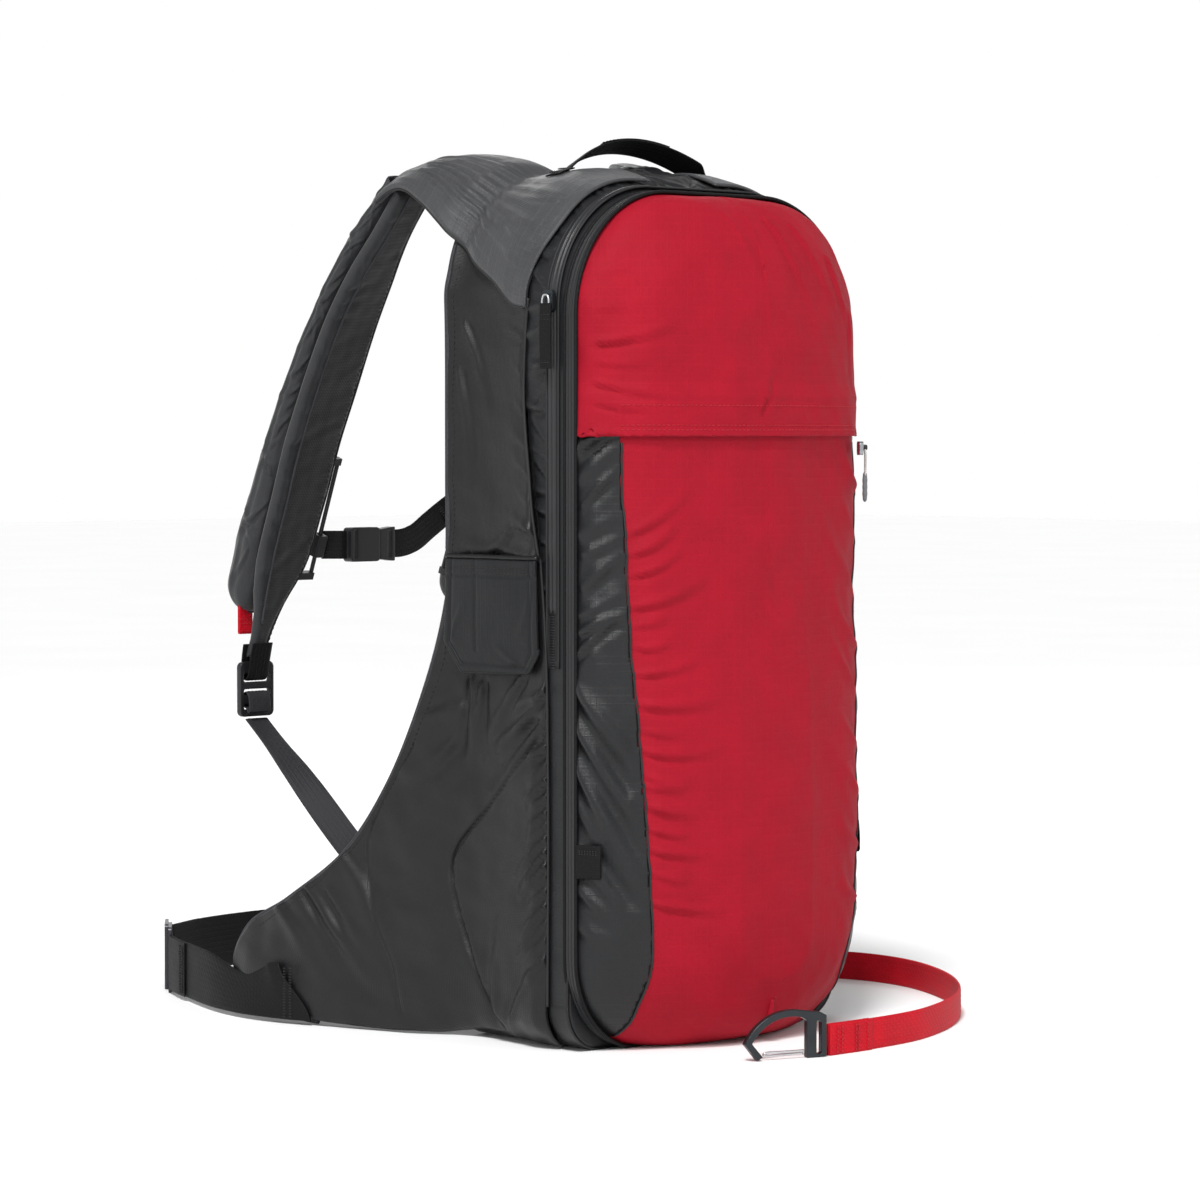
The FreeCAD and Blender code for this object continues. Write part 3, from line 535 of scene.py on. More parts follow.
def woven_webbing(name, colour, rough=(0.55, 0.7), relief=0.5, sheen=0.0):
    """Webbing: a twill of short ribs across the strip."""
    s = Surface(name)
    at = s.coords("UV")
    ribs, rows = s.bands(at, 1.5 * MM, "X"), s.bands(at, 1.9 * MM, "Y")
    twill = s.math("MULTIPLY", rows, s.bands(at, 2.4 * MM, "DIAGONAL"))
    height = s.math("ADD", s.math("MULTIPLY", ribs, 0.6), s.math("MULTIPLY", twill, 0.8))
    worn = s.noise(at, 45.0, 4.0)
    tone = s.math("ADD", s.math("MULTIPLY", height, 0.22), s.math("MULTIPLY", worn, 0.6))
    s.tones(tone, colour, (0.2, 0.72), (0.65, 1.12))
    s.feed("Roughness", s.spread(worn, *rough))
    s.feed("Normal", s.bump(height, relief, 0.0003))
    return s.finish(Sheen_Weight=sheen, Specular_IOR_Level=0.22)


def moulded(name, colour, rough=(0.38, 0.52), grain=0.12, metallic=0.0, round_edge=0.0006):
    """Moulded plastic or cast metal: rounded edges, a fine grain and faint handling marks."""
    s = Surface(name)
    at = s.coords("Object")
    marks = s.noise(at, 60.0, 5.0)
    s.tones(marks, colour, (0.3, 0.86), (0.7, 1.14))
    s.feed("Roughness", s.spread(marks, *rough))
    edge = s.node("ShaderNodeBevel", samples=4, Radius=round_edge)
    s.feed("Normal", s.bump(s.noise(at, 1400.0, 2.0), grain, 0.0002, edge.outputs["Normal"]))
    return s.finish(Metallic=metallic)


def brushed(name, colour):
    """Drawn or brushed metal with fine lines one way."""
    s = Surface(name)
    stretch = s.node("ShaderNodeMapping")
    stretch.inputs["Scale"].default_value = (1.0, 1.0, 14.0)
    s.link(s.coords("Object"), stretch.inputs["Vector"])
    lines = s.noise(stretch.outputs["Vector"], 240.0, 4.0)
    s.tones(lines, colour, (0.3, 0.85), (0.7, 1.1))
    s.feed("Roughness", s.spread(lines, 0.26, 0.4))
    edge = s.node("ShaderNodeBevel", samples=4, Radius=0.0005)
    s.feed("Normal", s.bump(lines, 0.08, 0.0002, edge.outputs["Normal"]))
    return s.finish(Metallic=1.0)


def foam_mesh(name, colour):
    """Spacer mesh over foam: a field of small round openings."""
    s = Surface(name)
    cells = s.node("ShaderNodeTexVoronoi", feature="F1", Scale=330.0)
    cells.inputs["Randomness"].default_value = 0.25
    s.link(s.coords("Object"), cells.inputs["Vector"])
    holes = cells.outputs["Distance"]
    s.tones(holes, colour, (0.18, 0.35), (0.5, 1.25))
    s.feed("Normal", s.bump(holes, 0.8, 0.0008))
    return s.finish(Roughness=0.8, Sheen_Weight=0.2)


RED = linear(150, 14, 34)
SHELL_BLACK, YOKE_BLACK, DEEP_BLACK = linear(20, 21, 23), linear(50, 51, 53), linear(18, 18, 20)

MATERIALS = {
    "red": fabric("red_face_fabric", RED, weave=0.8, grid=6.0, rough=(0.62, 0.76), tone=0.1, sheen=0.0,
                  gloss=0.14),
    "black": fabric("black_ripstop", SHELL_BLACK, weave=0.8, grid=5.0, rough=(0.32, 0.46), tone=0.2,
                    sheen=0.02, gloss=0.37),
    "yoke": fabric("grey_ripstop", YOKE_BLACK, weave=0.9, grid=4.0, rough=(0.4, 0.54), tone=0.24, relief=0.4,
                   gloss=0.5),
    "flap": fabric("flap_ripstop", SHELL_BLACK, weave=0.8, grid=5.0, rough=(0.46, 0.6), tone=0.2, sheen=0.04,
                   gloss=0.26),
    "stretch": fabric("stretch_weave", DEEP_BLACK, weave=1.0, rough=(0.36, 0.5), tone=0.2, sheen=0.02,
                      gloss=0.36),
    "strap": fabric("strap_lining", DEEP_BLACK, weave=1.2, rough=(0.6, 0.75), tone=0.2, relief=0.5,
                    sheen=0.25),
    "sleeve": fabric("sleeve_fabric", linear(40, 41, 43), weave=0.9, grid=4.0, rough=(0.46, 0.6), tone=0.2,
                     gloss=0.32),
    "mesh_pad": foam_mesh("pad_spacer_mesh", linear(34, 34, 37)),
    "binding": woven_webbing("edge_binding", linear(56, 56, 60), relief=0.4),
    "webbing": woven_webbing("black_webbing", linear(9, 9, 11)),
    "grey_webbing": woven_webbing("grey_webbing", linear(44, 44, 47)),
    "red_webbing": woven_webbing("red_webbing", linear(190, 2, 28)),
    "thread": moulded("dark_thread", linear(24, 24, 26), rough=(0.6, 0.7), round_edge=0.0001),
    "red_thread": moulded("red_thread", linear(170, 18, 34), rough=(0.55, 0.7), round_edge=0.0001),
    "zip": woven_webbing("zip_tape", linear(24, 25, 27), rough=(0.5, 0.6), relief=0.3, sheen=0.1),
    "zip_cover": moulded("coated_zip_cover", linear(30, 31, 33), rough=(0.3, 0.42), grain=0.05),
    "coil": moulded("zip_coil", linear(30, 30, 32), rough=(0.3, 0.4), round_edge=0.0001),
    "plastic": moulded("black_acetal", linear(22, 22, 25)),
    "cast": moulded("cast_zinc", linear(168, 170, 174), rough=(0.24, 0.36), metallic=1.0, grain=0.05),
    "plate": brushed("anodised_plate", linear(74, 74, 78)),
    "hook": moulded("anodised_hook", linear(50, 54, 57), rough=(0.3, 0.42), metallic=0.7, grain=0.05),
    "wire": brushed("steel_wire", linear(205, 206, 208)),
    "sheet": moulded("sheet_plastic", linear(216, 216, 212), rough=(0.35, 0.5)),
    "stay": brushed("stay_aluminium", linear(190, 191, 194)),
    "case": moulded("battery_case", linear(92, 94, 98), rough=(0.4, 0.55), grain=0.2),
    "control": moulded("control_case", linear(112, 114, 118), rough=(0.4, 0.55), grain=0.2),
    "fan": moulded("fan_plastic", linear(96, 98, 101), rough=(0.35, 0.5), grain=0.16),
    "airbag": fabric("airbag_nylon", linear(226, 116, 48), weave=0.7, grid=5.0, rough=(0.5, 0.6), tone=0.14),
    "cord": woven_webbing("pull_cord", linear(190, 190, 186), relief=0.6),
}
# The CAD pieces that show as they are, by the look that they get.
NODE_LOOKS = {
    "plastic": ("sternum_rail_left", "sternum_rail_right"), "cast": ("pocket_zip_slider",),
    "plate": ("hip_buckle_frame", "hip_buckle_hook"), "sheet": ("frame_sheet",), "stay": ("frame_stays",),
    "case": ("battery_pack",), "control": ("control_unit",), "fan": ("fan_housing", "fan_impeller"),
    "hook": ("main_zip_slider_left", "main_zip_slider_right"),
}


def wear(obj, look):
    """Gives a piece its material."""
    obj.data.materials.clear()
    obj.data.materials.append(MATERIALS[look])
    return obj


def settle(obj, body, look, slot, *nodes):
    """A finished piece: material, body, and the CAD nodes that it stands for; slot is not used."""
    if look:
        wear(obj, look)
    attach(obj, body)
    if nodes:
        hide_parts(*nodes)
    return obj


def paint_nodes():
    """Gives the CAD pieces that show as they are their materials."""
    for look, names in NODE_LOOKS.items():
        for name in names:
            wear(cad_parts[name], look)


# ---------------------------------------------------------------- camera and light

CAMERA_LENS, CAMERA_SENSOR = 120, 36
SUN_POWER, SUN_SPREAD, SUN_WAY = 2.35, math.radians(12), (1.7, 1.0, -2.9)
# Lamps: name, place in metres, size, power.
LAMPS = (("lamp", (-1.2, -1.2, 1.6), 0.55, 14), ("front", (0.5, -2.6, 1.9), 0.6, 6),
         ("rim", (1.6, 2.2, 2.0), 1.2, 12))


def make_camera():
    """Three-quarter view from the wearer's left of the outer face."""
    azimuth, distance, height = math.radians(-45), 2.64, 0.394
    turn_left, tip_down = math.atan(0.01075), math.atan(0.0425)
    data = bpy.data.cameras.new("camera")
    data.lens, data.sensor_width = CAMERA_LENS, CAMERA_SENSOR
    camera = new_object("camera", data)
    camera.location = (distance * math.sin(azimuth), -distance * math.cos(azimuth), height)
    heading = azimuth + turn_left
    camera.rotation_euler = (math.pi / 2 - tip_down, 0, heading)
    bpy.context.scene.camera = camera


def area_light(name, place, size, power):
    """A round lamp that faces the middle of the bag; its place is in metres."""
    data = bpy.data.lights.new(name, "AREA")
    data.shape, data.size, data.energy = "DISK", size, power
    lamp = new_object(name, data)
    lamp.location = place
    lamp.rotation_euler = (Vector((0, 0, 0.3)) - Vector(place)).to_track_quat("-Z", "Y").to_euler()


def make_studio():
    """Light world, sun, three lamps and a white paper floor."""
    world = bpy.data.worlds.new("studio")
    world.use_nodes = True
    nodes, links = world.node_tree.nodes, world.node_tree.links
    height = nodes.new("ShaderNodeSeparateXYZ")
    links.new(nodes.new("ShaderNodeTexCoord").outputs["Generated"], height.inputs[0])
    wall = nodes.new("ShaderNodeValToRGB")
    for element, (place, tone) in zip(wall.color_ramp.elements, ((0.2, 1.0), (0.5, 0.36))):
        element.position, element.color = place, (tone, tone, tone, 1)
    links.new(height.outputs["Z"], wall.inputs["Fac"])
    links.new(wall.outputs["Color"], nodes["Background"].inputs["Color"])
    bpy.context.scene.world = world
    sun = bpy.data.lights.new("key", "SUN")
    sun.energy, sun.angle = SUN_POWER, SUN_SPREAD
    key = new_object("key", sun)
    key.rotation_euler = Vector(SUN_WAY).to_track_quat("-Z", "Y").to_euler()
    for lamp in LAMPS:
        area_light(*lamp)
    bpy.context.scene.view_settings.view_transform = "Standard"
    size, thick = 12.0, 0.004
    corners = [(x * size, y * size, z) for z in (-thick, 0) for y in (-1, 1) for x in (-1, 1)]
    faces = [(0, 2, 3, 1), (4, 5, 7, 6), (0, 1, 5, 4), (2, 6, 7, 3), (0, 4, 6, 2), (1, 3, 7, 5)]
    floor = mesh_object("studio_floor", np.array(corners) / MM, faces, smooth=False)
    paper = Surface("floor_paper")
    grain = paper.noise(paper.coords("Object"), 3.0)
    paper.link(paper.ramp(grain, [(0.3, (0.93, 0.93, 0.93, 1)), (0.7, (0.95, 0.95, 0.95, 1))]),
               paper.shader.inputs["Base Color"])
    paper.shader.inputs["Roughness"].default_value = 0.9
    floor.data.materials.append(paper.material)


# ---------------------------------------------------------------- leg strap (a free cord)

LEG_ROUTE = [(156, 131), (197, 115), (238, 88), (262, 48), (262, 1), (243, -45), (212, -91), (170, -132),
             (116, -163), (54, -181), (-11, -176)]
LEG_WIDTH, LEG_THICK, LEG_LENGTH, LEG_LIFT = 20.0, 2.0, 539.0, 10.2
LEG_DOUBLED = 38.0


def spline_points(points, name):
    """Points along a smooth spline that a route's points control."""
    curve = bpy.data.curves.new(name, "CURVE")
    curve.dimensions = "3D"
    spline = curve.splines.new("NURBS")
    spline.points.add(len(points) - 1)
    for control, p in zip(spline.points, points):
        control.co = (p[0] * MM, p[1] * MM, p[2] * MM, 1)
    spline.order_u, spline.use_endpoint_u = 3, True
    spline.resolution_u = 24
    holder = new_object(name, curve)
    bpy.context.view_layer.update()
    line = bpy.data.meshes.new_from_object(holder)
    made = np.array([v.co for v in line.vertices]) / MM
    bpy.data.objects.remove(holder)
    return made


def make_leg_strap():
    """Flat webbing that stands on its edge and runs from the hip fin to the carabiner."""
    line = spline_points([(x, y, LEG_LIFT) for x, y in LEG_ROUTE], "leg_route")
    path = evenly(line, 260)
    side = np.cross(unit(along(path)), UP)
    strap = webbing("leg_strap_webbing", path, side, LEG_WIDTH, LEG_THICK)
    return settle(strap, "pack", "red_webbing", "webbing_red", "leg_strap"), path, side


def leg_strap_trim(path, side):
    """The doubled end of the strap at the carabiner, with its bar tacks."""
    at = run_of(path)
    parts = []
    places = np.linspace(at[-1] - LEG_DOUBLED, at[-1], 40)
    piece, out = resample(places, at, path), resample(places, at, side)
    wave = 0.25 * np.sin(np.linspace(0, 5 * math.pi, 40))
    lift = 1.0
    for sign in (-1, 1):
        face = piece + out * sign * (LEG_THICK / 2 + lift / 2 + wave[:, None] * 0.5)
        parts.append(wear(webbing("layer", face, out * sign, LEG_WIDTH, lift), "red_webbing"))
    for back in (8, 11, 24, 27, 34):
        k = int(np.searchsorted(at, at[-1] - back))
        line = path[k] + UP * np.linspace(-LEG_WIDTH / 2 + 1, LEG_WIDTH / 2 - 1, 30)[:, None]
        for sign in (-1, 1):
            out = np.broadcast_to(side[k] * sign, line.shape)
            tack = stitching("tack", line + out * (LEG_THICK / 2 + 1.25), out, 2.0, 0.5, 0.45)
            parts.append(wear(tack, "red_thread"))
    return join("leg_strap_end", parts)


make_camera()
make_studio()
paint_nodes()
strap, leg_line, leg_side = make_leg_strap()
strap_end = settle(leg_strap_trim(leg_line, leg_side), "pack", None, "webbing_red")


# ---------------------------------------------------------------- bag outlines

def outline_ring(half, low, high, top_radius, base_radius, counts):
    """Points round a front-view outline, from the lower left corner by the base; (x, z) rows."""
    def arc(cx, cz, radius, start, count):
        angles = np.radians(np.linspace(start, start + 90, count, endpoint=False))
        return np.stack([cx + radius * np.cos(angles), cz + radius * np.sin(angles)], 1)

    def side(a, b, count):
        return np.linspace(a, b, count, endpoint=False)
    rb, rt = base_radius, top_radius
    return np.concatenate([
        arc(-half + rb, low + rb, rb, 180, counts[0]), side((-half + rb, low), (half - rb, low), counts[1]),
        arc(half - rb, low + rb, rb, 270, counts[2]), side((half, low + rb), (half, high - rt), counts[3]),
        arc(half - rt, high - rt, rt, 0, counts[4]), side((half - rt, high), (-half + rt, high), counts[5]),
        arc(-half + rt, high - rt, rt, 90, counts[6]),
        side((-half, high - rt), (-half, low + rb), counts[7])])


def top_line(y):
    """Height of the main compartment's top at a depth."""
    return np.interp(y, [DIVIDER, -12, BACK], [FRONT_TOP, TOP, TOP - 2])


# ---------------------------------------------------------------- front section

# Sections as distances from its back: how far the sides, the top and the base have drawn in, and the
# corner radii at the top and the base.
PILLOW = [(0, 0, 0, 0, 80, 60), (18, 4, 2, 0, 82, 74), (33, 18, 9, 2, 84, 88), (45, 33, 20, 6, 78, 86),
          (55, 62, 40, 17, 60, 64), (61, 92, 74, 42, 30, 32)]
PILLOW_BACK, SIDE_RINGS = -60.0, 62
FACE_RUN = 34.0
# Half width of the coloured panels by height; on the right the panel reaches further round.
RED_EXTRA_RIGHT = 7.0
RED_EDGE = [(430, 108), (HEM, 108), (250, 103.5), (100, 96.5), (50, 92), (-5, 93)]


def pillow_grid():
    """The front section's outer skin: rings from its back edge to a line down the middle of its front."""
    at = run_of(np.array([row[:2] for row in PILLOW], float))
    levels = np.concatenate([np.linspace(0, at[-1], SIDE_RINGS), at[-1] + np.linspace(2.5, FACE_RUN, 13)])
    rows = hermite(np.clip(levels, 0, at[-1]), at, PILLOW)
    rings = []
    for level, (depth, side, drop, lift, top_radius, base_radius) in zip(levels, rows):
        depth += 3.2 * smoothstep(level, at[-1] - 22, at[-1] + FACE_RUN)
        ring = outline_ring(HALF - side, max(lift, 0.2), FRONT_TOP - drop, top_radius, base_radius,
                            (24, 100, 24, 190, 44, 70, 44, 190))
        if level > at[-1]:
            past = (level - at[-1]) / FACE_RUN
            spine_low, spine_high = lift + 60, FRONT_TOP - drop - 60
            spine = np.stack([ring[:, 0] * 0, np.clip(ring[:, 1], spine_low, spine_high)], 1)
            ring = ring * (1 - past) + spine * past
        y = PILLOW_BACK - depth * (1 - 0.14 * smoothstep(ring[:, 1], 150, 330))
        rings.append(np.stack([ring[:, 0], y, ring[:, 1]], 1))
    return np.array(rings).transpose(1, 0, 2)


def unrolled(points):
    """Flat coordinates over the front section: across, unrolled round its sides, and up."""
    deepest = PILLOW_BACK - PILLOW[-1][0]
    across = np.sign(points[..., 0]) * (np.abs(points[..., 0]) + points[..., 1] - deepest)
    return across, points[..., 2]


def red_half(z, x=-1.0):
    """The coloured panel's reach from the middle at a height, on the side that x is on."""
    heights, halves = zip(*sorted(RED_EDGE))
    return np.interp(z, heights, halves) + RED_EXTRA_RIGHT * (np.asarray(x) > 0)


def red_creases():
    """Creases of the coloured panels: fans from the left seam, and longer pulls from the right edge."""
    rng = random.Random(11)
    made = []
    for z in (329, 316, 303, 283, 271, 258, 241, 222, 206, 193, 178, 171, 158, 144, 131, 116, 97):
        x = -red_half(z)
        rise = np.interp(z, [90, 220, 330], [-0.25, 0.1, 0.75]) + rng.uniform(-0.1, 0.1)
        reach = rng.uniform(26, 58)
        made.append((x + 2, z, x + reach, z + reach * rise, rng.uniform(2.6, 4.2), rng.uniform(1.3, 2.6),
                     rng.uniform(1, 4)))
    for z, reach, rise in ((352, 42, 0.9), (318, 50, 1.0), (282, 60, 0.95), (248, 46, 0.8), (214, 62, 1.0),
                           (182, 46, 0.75), (150, 52, 0.85), (118, 40, 0.6), (86, 34, 0.4)):
        x = float(red_half(z, 1)) + 2
        made.append((x, z, x - reach, z + reach * rise, rng.uniform(4, 6.5), rng.uniform(1.6, 3.0), -3))
    for z, reach, rise, height in ((470, 26, 0.25, 1.0), (449, 44, 0.3, 2.6), (436, 30, 0.1, 1.0),
                                   (423, 40, -0.12, 2.2), (411, 30, -0.05, 1.4), (492, 24, 0.4, 0.8)):
        made.append((-117, z, -117 + reach, z + reach * rise, 3.0, height, 2))
    for x, z, dx, dz, height in ((18, 528, 34, -62, 1.5), (40, 526, 42, -60, 1.2), (74, 505, 30, -60, 1.6),
                                 (96, 470, 12, -60, 1.1), (-20, 531, 20, -52, 0.7), (-12, 408, 14, 26, 1.8)):
        made.append((x, z, x + dx, z + dz, 3.4, height, 1))
    return made


def gusset_creases():
    """Folds across the black gussets: ones that rise forwards above, and long ones that fall below."""
    rng = random.Random(5)
    made = []
    for z in (390, 381, 364, 352, 331, 322, 301, 282, 273, 256):
        reach, start = rng.uniform(34, 78), -190 + rng.uniform(0, 16)
        made.append((start, z - 8, start + reach, z - 8 + reach * rng.uniform(0.3, 0.8),
                     rng.uniform(3.0, 6.0), rng.uniform(1.1, 2.6), rng.uniform(-4, 4)))
    for z, reach, drop, width, height in (
            (244, 72, 66, 7.5, 3.0), (222, 76, 84, 6.5, 2.6), (198, 78, 98, 8, 3.2), (172, 66, 70, 6, 2.2),
            (140, 76, 60, 6.5, 2.4), (112, 70, 34, 5.5, 1.7), (86, 62, 16, 5.5, 1.2)):
        made.append((-190, z, -190 + reach, z - drop, width, height, 3))
    return made


def away(points, wrap_u=False, wrap_v=False):
    """Normals of a grid that wraps round its own middle, turned outwards."""
    normal = normals(points, wrap_u, wrap_v)
    centre = points.mean((0, 1)) if wrap_u else points.mean(1, keepdims=True)
    return normal * np.sign(((points - centre) * normal).sum(-1).mean())


def outwards(points):
    """Outward directions of the front section's skin; its face looks straight ahead."""
    face = smoothstep(np.arange(points.shape[1]), SIDE_RINGS - 2, SIDE_RINGS + 4)[None, :, None]
    return unit(away(points, wrap_u=True) * (1 - face) + np.array([0, -1.0, 0]) * face)


def crease_front(points):
    """Moves the front section's skin along its normals by its creases and a slow swell."""
    s, z = unrolled(points)
    out = outwards(points)
    x = points[..., 0]
    half = np.where(z > HEM, 400, red_half(z, x))
    seam = 0.3 + 0.7 * smoothstep(np.abs(np.abs(x) - half), 0.5, 9)
    fans = 1.2 * folds(x, z, red_creases(), 0.8)
    diagonal = 1.25 * folds(-np.abs(s) - 4.0 * (s > 0), z, gusset_creases(), 0.3, swell=True)
    diagonal *= np.where(x > 0, 0.4, 1.0)
    soft_edge = smoothstep(-points[..., 1], -PILLOW_BACK, -PILLOW_BACK + 9)
    below = z < HEM + 6
    move = (np.where(np.abs(x) < half, fans, 0)
            + np.where((np.abs(x) >= half) & below, diagonal * soft_edge, 0))
    move = move * seam + 1.1 * ripple(s, z, 70, 3) * soft_edge + 0.35 * ripple(s, z, 22, 8) * soft_edge
    floor_guard = smoothstep(z, 0, 14)
    return points + out * (move * floor_guard)[..., None]


def cut_along(mesh, plane_point, plane_normal, chosen):
    """Cuts the chosen faces along a plane, keeping both sides."""
    faces = [f for f in mesh.faces if chosen(f.calc_center_median() / MM)]
    geometry = list({v for f in faces for v in f.verts}) + list({e for f in faces for e in f.edges}) + faces
    bmesh.ops.bisect_plane(mesh, geom=geometry, dist=1e-6, plane_co=Vector(plane_point) * MM,
                           plane_no=Vector(plane_normal))


def part_of(name, source, wanted):
    """A copy of a bmesh with only the faces whose centre, in millimetres, is wanted."""
    copy = source.copy()
    extra = [f for f in copy.faces if not wanted(f.calc_center_median() / MM)]
    bmesh.ops.delete(copy, geom=extra, context="FACES")
    mesh = bpy.data.meshes.new(name)
    copy.to_mesh(mesh)
    copy.free()
    mesh.shade_smooth()
    return new_object(name, mesh)


def skin_mesh(points):
    """The front section's skin as a bmesh, with the middle line sewn up."""
    s, z = unrolled(points)
    index = np.arange(s.size).reshape(s.shape)
    flat = np.stack([s, z], -1).reshape(-1, 2)
    obj = mesh_object("skin", points.reshape(-1, 3), grid_faces(index, True), flat)
    mesh = bmesh_of(obj)
    bpy.data.objects.remove(obj)
    bmesh.ops.remove_doubles(mesh, verts=mesh.verts, dist=0.9 * MM)
    bmesh.ops.recalc_face_normals(mesh, faces=mesh.faces)
    return mesh


def make_front_section():
    """The coloured upper and lower panels and the two gussets, cut from one creased skin."""
    hem_height, lip, cloth, tucked = 22.0, 2.6, 1.3, 12
    points = crease_front(pillow_grid())
    out = outwards(points)
    z = points[..., 2]
    lower_skin = skin_mesh(points)
    flare = lip * (1 - smoothstep(z, HEM + hem_height, HEM + hem_height + 14))
    band = 0.9 * bump(z, HEM + 1.5, 3.0) - 0.5 * bump(z, HEM + hem_height, 2.2)
    raised = np.maximum(flare + band, 0) * smoothstep(PILLOW_BACK - points[..., 1], 0.5, 12)
    upper_skin = skin_mesh(points + out * raised[..., None])

    cut_along(upper_skin, (0, 0, HEM), (0, 0, 1), lambda c: True)
    upper = thicken(part_of("front_upper_cloth", upper_skin, lambda c: c.z > HEM), cloth)
    upper_skin.free()
    settle(upper, "pack", "red", "red_fabric", "front_upper_panel")

    top = HEM + tucked
    cut_along(lower_skin, (0, 0, top), (0, 0, 1), lambda c: True)
    for (z0, x0), (z1, x1) in zip(RED_EDGE[1:], RED_EDGE[2:]):
        cut_along(lower_skin, (0, 0, z0), (0, 0, 1), lambda c: True)
        for sign in (-1, 1):
            slope = (sign * (z1 - z0), 0, -(x1 - x0))
            cut_along(lower_skin, (sign * (x0 + RED_EXTRA_RIGHT * (sign > 0)), 0, z0), slope,
                      lambda c: z1 - 1 < c.z < z0 + 1 and c.x * sign > 0)
    pieces = {"front_lower_cloth": (lambda c: c.z < top and abs(c.x) <= red_half(c.z, c.x),
                                    "red", "red_fabric", "front_lower_panel")}
    for side, sign in SIDES:
        pieces["gusset_cloth_" + side] = (
            lambda c, sign=sign: c.z < top and abs(c.x) > red_half(c.z, c.x) and c.x * sign < 0,
            "black", "shell_fabric", "front_gusset_" + side)
    made = {}
    for name, (wanted, look, slot, node) in pieces.items():
        made[name] = settle(thicken(part_of(name, lower_skin, wanted), cloth), "pack", look, slot, node)
    lower_skin.free()
    front_seams(upper, made["front_lower_cloth"])


def front_seams(upper, lower):
    """Piping between the coloured panel and the gussets, and the stitching of the hem."""
    bpy.context.view_layer.update()
    tree, hem_tree = surface_tree(lower), surface_tree(upper)
    parts = []
    for sign in (-1, 1):
        heights = np.linspace(HEM - 4, 4, 150)
        starts = [(sign * (red_half(h, sign) - 0.6), AHEAD, h) for h in heights]
        path, _ = lay_on(tree, starts, (0, 1, 0), 0.25)
        seam = tube("seam", evenly(path, 170), 0.75, hint=np.array([0, -1.0, 0]))
        parts.append(wear(seam, "thread"))
    settle(join("front_seam_piping", parts), "pack", None, "shell_fabric")
    rows = []
    for height in (HEM + 4, HEM + 7, HEM + 19.5):
        starts = [(x, AHEAD, height) for x in np.linspace(-110, 110, 260)]
        path, out = lay_on(hem_tree, starts, (0, 1, 0), 0.1)
        rows.append(wear(stitching("row", path, out, 2.4, 1.0, 0.3), "red_thread"))
    settle(join("hem_stitching", rows), "pack", None, "red_fabric")


make_front_section()


# ---------------------------------------------------------------- main compartment

# The side cover's front edge beside the main zip, which leans back above the flap: z, y.
COVER_EDGE = [(0, -41), (190, -41.5), (240, -40.5), (300, -36), (360, -28), (419, -20), (460, -21),
              (486, -24), (530, -30)]
COVER_ROOM, SHELL_THICK = 5.0, 1.2


def make_main_shell():
    """One skin round the main compartment's sides, top and base, with puckers beside the zips."""
    depth_places = np.linspace(DIVIDER + 0.2, BACK - 0.4, 54)
    rings = []
    for y in depth_places:
        crown = 1.2 * math.sin(math.pi * (y - DIVIDER) / (BACK - DIVIDER))
        ring = outline_ring(HALF, 0.25, top_line(y) - 0.4 + crown * 0.6, TOP_RADIUS, BASE_RADIUS,
                            (10, 40, 10, 230, 60, 40, 60, 230))
        rings.append(np.stack([ring[:, 0], np.full(len(ring), y), ring[:, 1]], 1))
    points = np.array(rings).transpose(1, 0, 2)
    out = away(points, wrap_u=True)
    x, y, z = points[..., 0], points[..., 1], points[..., 2]
    around = run_of(points[:, 0])[:, None] * np.ones_like(y)
    rng = random.Random(21)
    creases = []
    puckers, clear = 96, 120
    for k in range(puckers):
        start = around[0, 0] + clear + k * (around[-1, 0] - 2 * clear) / puckers + rng.uniform(-5, 5)
        reach = rng.uniform(12, 30)
        creases.append((start, ZIP_Y + 6, start + rng.uniform(-20, 20), ZIP_Y + 6 + reach,
                        rng.uniform(1.8, 3.2), rng.uniform(0.9, 2.2), 1.0))
    move = 1.6 * folds(around, y, creases, 0.7) * smoothstep(y, ZIP_Y + 3, ZIP_Y + 10)
    # The top is rumpled and swells in its middle, and lies flat under the shoulder yokes on either side.
    on_top = smoothstep(z, TOP - 30, TOP - 8)
    rumpled = on_top * smoothstep(y, ZIP_Y + 4, ZIP_Y + 30)
    move = move + rumpled * (2.6 * ripple(x, y, 40, 17) + 1.7 * np.abs(ripple(x * 1.5, y, 21, 18)))
    move = move + 7.0 * bump(y, 20, 24) * on_top
    between_yokes = 1 - smoothstep(np.abs(x), 16, 30)
    move = np.where(z > TOP - 60, np.minimum(move, 0.9 + 12 * between_yokes), move)
    # Under the side cover the shell is drawn in, so that the two never meet.
    edge = np.interp(z, *zip(*COVER_EDGE))
    covered = (smoothstep(y, edge, edge + 6) * smoothstep(np.abs(x), HALF - 30, HALF - 12)
               * (1 - smoothstep(z, 500, 520)))
    move = (move * (1 - covered) - COVER_ROOM * covered) * smoothstep(z, 2, 16)
    shell_obj = shell("main_shell_cloth", points + out * move[..., None], SHELL_THICK,
                      np.stack([around, y], -1), wrap_u=True)
    fix_normals(shell_obj)
    settle(shell_obj, "pack", "black", "shell_fabric", "top_panel", "side_panel_left", "side_panel_right",
           "base_panel")


def fix_normals(obj):
    """Turns a skin's faces outwards from the middle of the bag."""
    mesh = bmesh_of(obj)
    bmesh.ops.recalc_face_normals(mesh, faces=mesh.faces)
    centre = Vector((0, -0.01, 0.28))
    total = sum((f.calc_center_median() - centre).dot(f.normal) * f.calc_area() for f in mesh.faces)
    if total < 0:
        bmesh.ops.reverse_faces(mesh, faces=mesh.faces)
    mesh.to_mesh(obj.data)
    mesh.free()


make_main_shell()


# ---------------------------------------------------------------- zips

